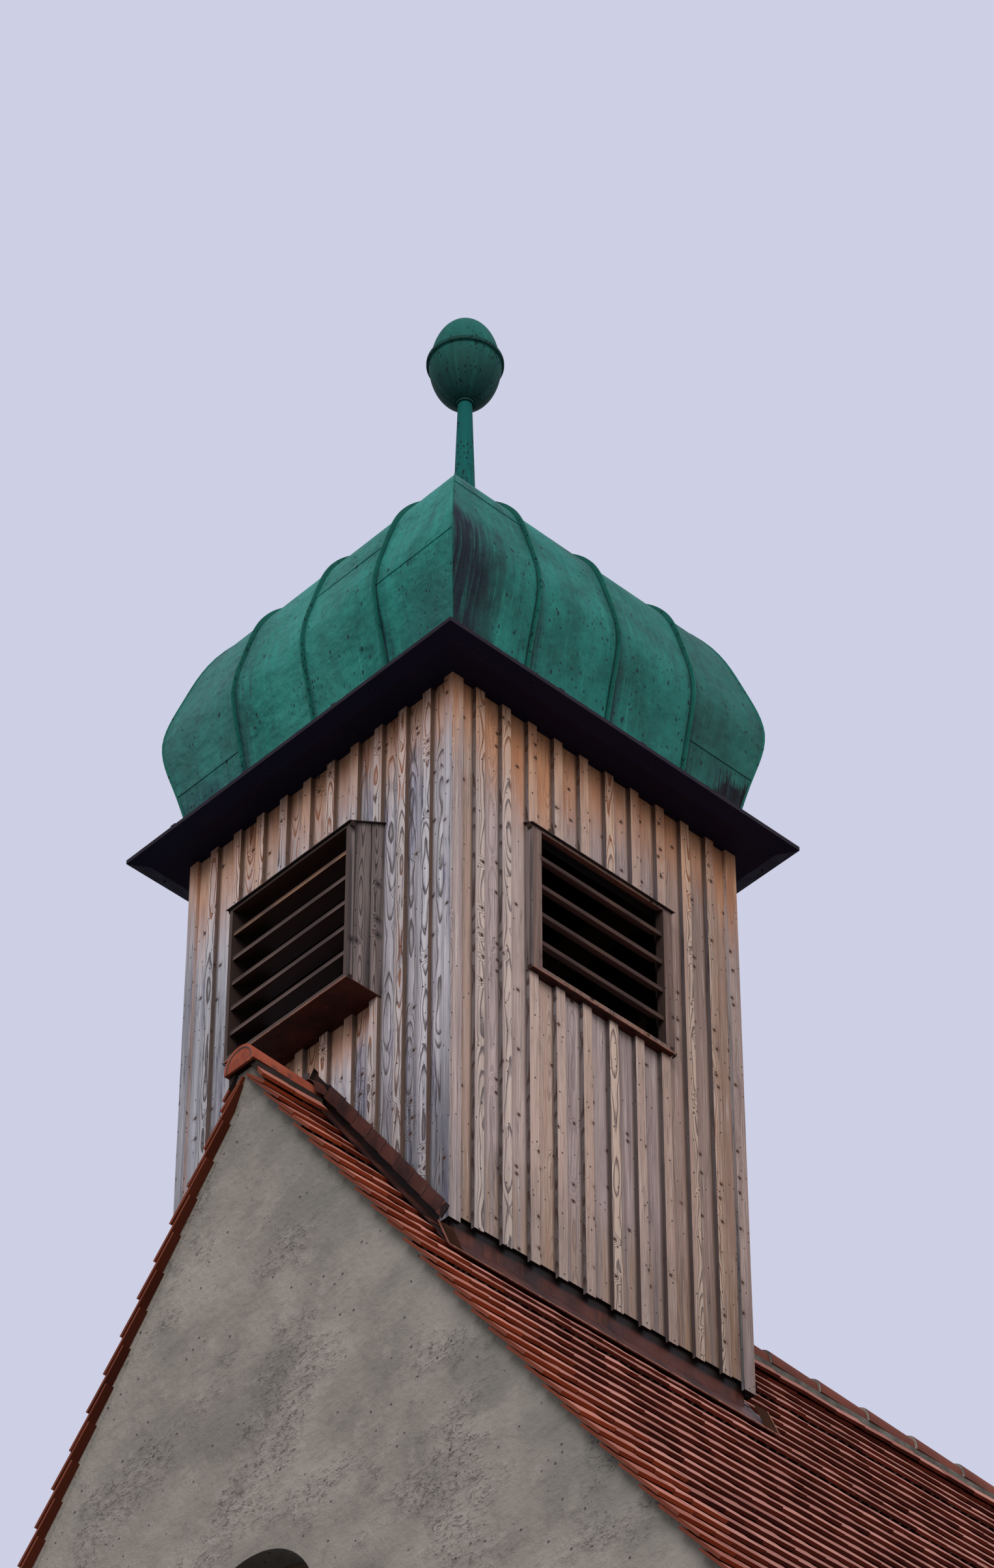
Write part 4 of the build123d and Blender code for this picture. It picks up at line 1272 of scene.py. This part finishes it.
class CHURCH_OT_cap(bpy.types.Operator):
    """Patinates the cap and adds its cross seams, hip folds, clips and screws"""

    bl_idname = "church.cap"
    bl_label = "Copper cap"

    def execute(self, context):
        gable = patina("patina over the gables", True)
        eaves = patina("patina over the eaves", False)
        # the upper and the lower tone of each
        tones = {
            "folds": ((0.011, 0.11, 0.09), (0.009, 0.09, 0.074)),
            "pole": ((0.003, 0.088, 0.08), (0.003, 0.08, 0.074)),
            "ball": ((0.011, 0.09, 0.078), (0.009, 0.044, 0.04)),
            "band": ((0.008, 0.046, 0.04), (0.005, 0.03, 0.027)),
        }
        finishes = [ball_patina(f"patina of the {name}", *pair) for name, pair in tones.items()]
        fold, pole, ball, band = finishes
        dark = eaves_copper()
        clad(gable, "cap_gable_sides")
        clad(eaves, "cap_eaves_sides")
        clad(fold, "standing_seams")
        clad(pole, "finial_pole")
        clad(ball, "finial_ball_lower", "finial_ball_upper")
        clad(band, "finial_band")
        clad(dark, "soffit", "eaves_edge")
        self.cross_seams(gable, eaves)
        self.hip_folds(fold)
        self.collars(ball)
        self.eave_parts(dark)
        return {"FINISHED"}

    def half_width(self, side):
        """Gives a function that finds the cap's half width on one side from a place and a height."""
        look = looker("cap_gable_sides" if side in GABLES else "cap_eaves_sides", side)
        outside = 2.0

        def find(across, z):
            gap = look(Vector((across, -outside, z)), outside)
            if gap is None:
                raise RuntimeError(f"the cap's {side} side wasn't found at height {z:.3f}")
            return outside - gap

        return find

    def cross_seams(self, gable, eaves):
        """Flat cross seams between the standing seams."""
        # each seam runs from one standing seam to another, or to the hip where no place is given
        first, second, third = GABLE_SEAMS
        on_gables = ((first, None, 0.718), (second, first, 1.04), (None, third, 0.395))
        first, _, third = EAVES_SEAMS
        on_eaves = ((None, first, 1.18), (third, None, 0.43))
        bm = bmesh.new()
        for side in SIDES:
            find = self.half_width(side)
            for start, end, height in on_gables if side in GABLES else on_eaves:
                z = CAP_BASE + height
                known = start if start is not None else end
                here = find(known, z)
                lean = math.atan2(here - find(known, z + 0.02), 0.02)
                start = -here if start is None else start
                end = here if end is None else end
                place = turned(side) @ shift(0, -here, z) @ tilt(-lean, "X")
                strip = block((start, -0.0035, -0.007), (end, 0.004, 0.007), 0.001)
                join(bm, strip, place, 0 if side in GABLES else 1)
        commit(bm, "cap_cross_seams", [gable, eaves])

    def hip_folds(self, finish):
        """Thin folds that stand along the four hips, with a small point on top."""
        find = self.half_width("front")
        steps = 44
        bm = bmesh.new()
        for index in range(4):
            fold = bmesh.new()
            spine = []
            for step in range(steps + 1):
                z = CAP_BASE + 0.012 + (CAP_TIP - CAP_BASE - 0.05) * step / steps
                half = find(0.004, z) * math.sqrt(2)
                spine.append(fold.verts.new((half - 0.012, 0.0022, z)))
            edges = [fold.edges.new(pair) for pair in zip(spine, spine[1:])]
            moved(fold, bmesh.ops.extrude_edge_only(fold, edges=edges), (0.019, 0, 0))
            pushed(fold, fold.faces[:], (0, -0.0044, 0))
            join(bm, fold, shift(0, AXIS_Y, 0) @ tilt(math.pi * (index / 2 + 0.25), "Z"))
        commit(bm, "cap_hip_folds", [finish], 40)

    def collars(self, finish):
        """A rolled collar where the pole enters the ball and a lip under the ball's band."""
        bm = bmesh.new()
        (_, _, band_low), (band_radius, _, _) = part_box("finial_band")
        collar = ((POLE_RIGHT - POLE_LEFT) / 2 * 0.78, BALL_LOW - 0.004, 0.016)
        for radius, z, depth in (collar, (band_radius - 0.006, band_low - 0.002, 0.005)):
            stud(bm, shift(0, AXIS_Y, z), radius * 0.97, radius, depth, 40)
        commit(bm, "finial_collars", [finish], 30)

    def eave_parts(self, finish):
        """Screws under the eaves and a few bent clips on their upper edge."""
        pick = random.Random(17)
        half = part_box("eaves_edge")[1].x
        (_, _, low), (inner, _, _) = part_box("soffit")
        # the underside rises from the soffit to the rim, and the screws sit halfway out
        rim = CAP_BASE - 0.023
        underside = (low + rim) / 2 - 0.001
        screw_pitch = 0.36
        bm = bmesh.new()
        for side in SIDES:
            for index in range(6):
                across = (index - 2.5) * screw_pitch + pick.uniform(-0.02, 0.02)
                place = shift(across, -(half + inner) / 2, underside)
                stud(bm, turned(side) @ place, 0.005, 0.008, 0.005, 10)
        clips = {"front": (0.32, -0.29, -0.78), "right": (-0.41, 0.1, 0.62)}
        clips.update(rear=(0.2,), left=(0.1,))
        for side, places in clips.items():
            for across in places:
                clip = block((-0.017, -0.01, -0.004), (0.017, 0.006, 0.012), 0.003)
                lean = tilt(math.radians(pick.uniform(-14, 14)), "Y")
                join(bm, clip, turned(side) @ shift(across, -half + 0.014, CAP_BASE + 0.004) @ lean)
        commit(bm, "eaves_clips", [finish])


class CHURCH_OT_flashings(bpy.types.Operator):
    """Finishes the copper flashings and adds their sheets, folds and end tabs"""

    bl_idname = "church.flashings"
    bl_label = "Flashings"

    def execute(self, context):
        # the dark tone, the light tone and the streaks of each finish; the trays' plates are matte
        tones = {
            "flashing copper": ((0.024, 0.009, 0.0075), (0.115, 0.03, 0.018), (0.15, 0.045, 0.026)),
            "hood copper": ((0.02, 0.012, 0.011), (0.062, 0.032, 0.025), (0.09, 0.048, 0.036)),
            "copper edge with painted highlight": ((0.15, 0.055, 0.036), (0.42, 0.185, 0.125), (0.56, 0.28, 0.205)),
            "shaded copper": ((0.01, 0.005, 0.005), (0.04, 0.015, 0.011), (0.06, 0.022, 0.015)),
            "sheet copper": ((0.015, 0.006, 0.005), (0.098, 0.029, 0.019), (0.07, 0.023, 0.016)),
            "tray copper": ((0.02, 0.009, 0.006), (0.046, 0.021, 0.014), (0.06, 0.028, 0.018), 0.0),
        }
        finishes = [brown_copper(name, *three) for name, three in tones.items()]
        brown, hood, bright, shaded, sheet, matte = finishes
        clad(brown, "louvre_sills", "aprons")
        clad(shaded, "gable_flashings")
        clad(hood, "louvre_hoods")
        self.sheets(sheet)
        self.boots(brown)
        # the folded edges' light copper is a painted highlight
        self.edges(bright, matte)
        self.tabs(hood)
        return {"FINISHED"}

    def sheets(self, finish):
        """Short sheets that lap each other up both slopes, on the gable and on the tiles."""
        pick = random.Random(3)
        count = 9
        width = 0.158
        lap = 0.006
        first = 0.11
        last_end = (BOARD_FACE - 0.055) / math.cos(PITCH)
        height = 0.17 * math.cos(PITCH)
        step = BATTEN_FACE - LINING_FACE
        bm = bmesh.new()
        tones = []
        for side in GABLES:
            for hand in (-1, 1):
                place = turned(side) @ shift(0, -LINING_FACE, RIDGE_Z)
                place = place @ Matrix.Diagonal((hand, 1, 1, 1)) @ tilt(PITCH, "Y")
                for index in range(count):
                    along = first + index * width
                    end = min(along + width + lap, last_end)
                    tone = 0.9 if index == count - 1 else pick.uniform(0.0, 0.3)
                    # every second sheet lies over its neighbours
                    lift = 0.0012 * (index % 2)
                    front = -step - lift
                    upright = block((0, front - 0.0045, -0.056), (end - along, front - 0.002, 0.004))
                    upper = place @ shift(along, 0, height) @ tilt(math.radians(-1.6), "Y")
                    join(bm, upright, upper)
                    flat = block((along, -0.08, 0.0045 + lift), (end, -0.004, 0.0068 + lift))
                    join(bm, flat, place)
                    seam = block((0, front - 0.0062, -0.055), (0.0035, front - 0.0045, 0.003))
                    join(bm, seam, upper, 1)
                    tones += [tone] * 18
        store_tones(bm, tones)
        commit(bm, "flashing_sheets", [finish, rusty_iron()])

    def boots(self, finish):
        """A curved boot over the ridge tiles on both sides of the turret, with a folded tab."""
        radius = RIDGE_RADIUS + 0.004
        reach = 0.055
        bm = bmesh.new()
        for side in GABLES:
            place = turned(side) @ shift(0, -BATTEN_FACE - reach, RIDGE_AXIS)
            join(bm, arch(radius, 0.003, 0.012, 0.062, 1.08), place)
            tab = block((-0.02, -0.0015, 0.0), (0.02, 0.0015, 0.03))
            bent = shift(0.03, 0.0, radius - 0.008) @ tilt(0.5, "Y")
            join(bm, tab, place @ bent, 1)
        commit(bm, "flashing_boots", [finish, rusty_iron()], 40)

    def edges(self, finish, matte):
        """Folded edges whose lighter copper is a painted highlight: under the aprons, the trays and the
        louvre sills.
        """
        (_, front, _), (outer, rear, _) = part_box("aprons")
        half = (rear - front) / 2
        slope = math.tan(PITCH)
        z = RIDGE_Z - outer * slope + 0.007
        tray_height = 0.055
        rise = (outer - BATTEN_FACE) * slope + tray_height
        run = outer - BATTEN_FACE - 0.008
        reach = math.hypot(run, rise)
        bm = bmesh.new()
        for side in ("right", "left"):
            turn = turned(side)
            roll = block((-half, -outer - 0.003, z - 0.004), (half, -outer + 0.005, z + 0.002), 0.001)
            join(bm, roll, turn)
            # a leaning plate closes each end of a tray, with a rim of lighter copper as a painted highlight
            leaning = turn @ shift(0, -outer + 0.004, z) @ tilt(-math.atan2(run, rise), "X")
            for hand in (-1, 1):
                start, end = sorted((hand * BOARD_FACE, hand * (half - 0.003)))
                join(bm, block((start, -0.0015, 0.0), (end, 0.0015, reach)), leaning, 1)
                rim = block((-0.0015, -0.0035, 0.0), (0.0015, 0.0025, reach))
                join(bm, rim, leaning @ shift(hand * (half - 0.0035), 0, 0))
        for side in SIDES:
            middle, span, front, foot, _ = louvre(side)
            low = (middle - span, front - 0.001, foot - 0.006)
            join(bm, block(low, (middle + span, front + 0.004, foot + 0.001), 0.001), turned(side))
        commit(bm, "flashing_edges", [finish, matte])

    def tabs(self, finish):
        """Small bent tabs at the ends of the louvre hoods and sills."""
        pick = random.Random(8)
        bm = bmesh.new()
        hood_slope = math.tan(math.radians(29))
        for side in SIDES:
            middle, half, front, foot, top = louvre(side)
            hood = top + (BOARD_FACE + front) * hood_slope
            for hand in (-1, 1):
                for z, drop in ((hood, 0.02), (foot, 0.014)):
                    tab = block((-0.002, -0.01, -drop), (0.002, 0.016, 0.006), 0.0008)
                    lean = tilt(math.radians(hand * pick.uniform(10, 35)), "Y")
                    spot = shift(middle + hand * (half + 0.01), front + 0.01, z)
                    join(bm, tab, turned(side) @ spot @ lean)
        commit(bm, "louvre_tabs", [finish])


class CHURCH_PT_panel(bpy.types.Panel):
    """Lists the building's sizes, colours and groups of pieces"""

    bl_label = "Church"
    bl_idname = "CHURCH_PT_panel"
    bl_space_type = "VIEW_3D"
    bl_region_type = "UI"
    bl_category = "Church"

    def draw(self, context):
        for name in ChurchSettings.__annotations__:
            self.layout.prop(context.scene.church, name)
        for operator in OPERATORS:
            self.layout.operator(operator.bl_idname)


OPERATORS = (
    CHURCH_OT_stage,
    CHURCH_OT_walls,
    CHURCH_OT_tiles,
    CHURCH_OT_ridge,
    CHURCH_OT_turret,
    CHURCH_OT_cap,
    CHURCH_OT_flashings,
)
CLASSES = (ChurchSettings, *OPERATORS, CHURCH_PT_panel)


def register():
    for item in CLASSES:
        bpy.utils.register_class(item)
    bpy.types.Scene.church = bpy.props.PointerProperty(type=ChurchSettings)


def unregister():
    del bpy.types.Scene.church
    for item in reversed(CLASSES):
        bpy.utils.unregister_class(item)


def main():
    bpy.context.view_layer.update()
    register()
    for operator in OPERATORS:
        group, name = operator.bl_idname.split(".")
        getattr(getattr(bpy.ops, group), name)()


if __name__ == "__main__":
    main()
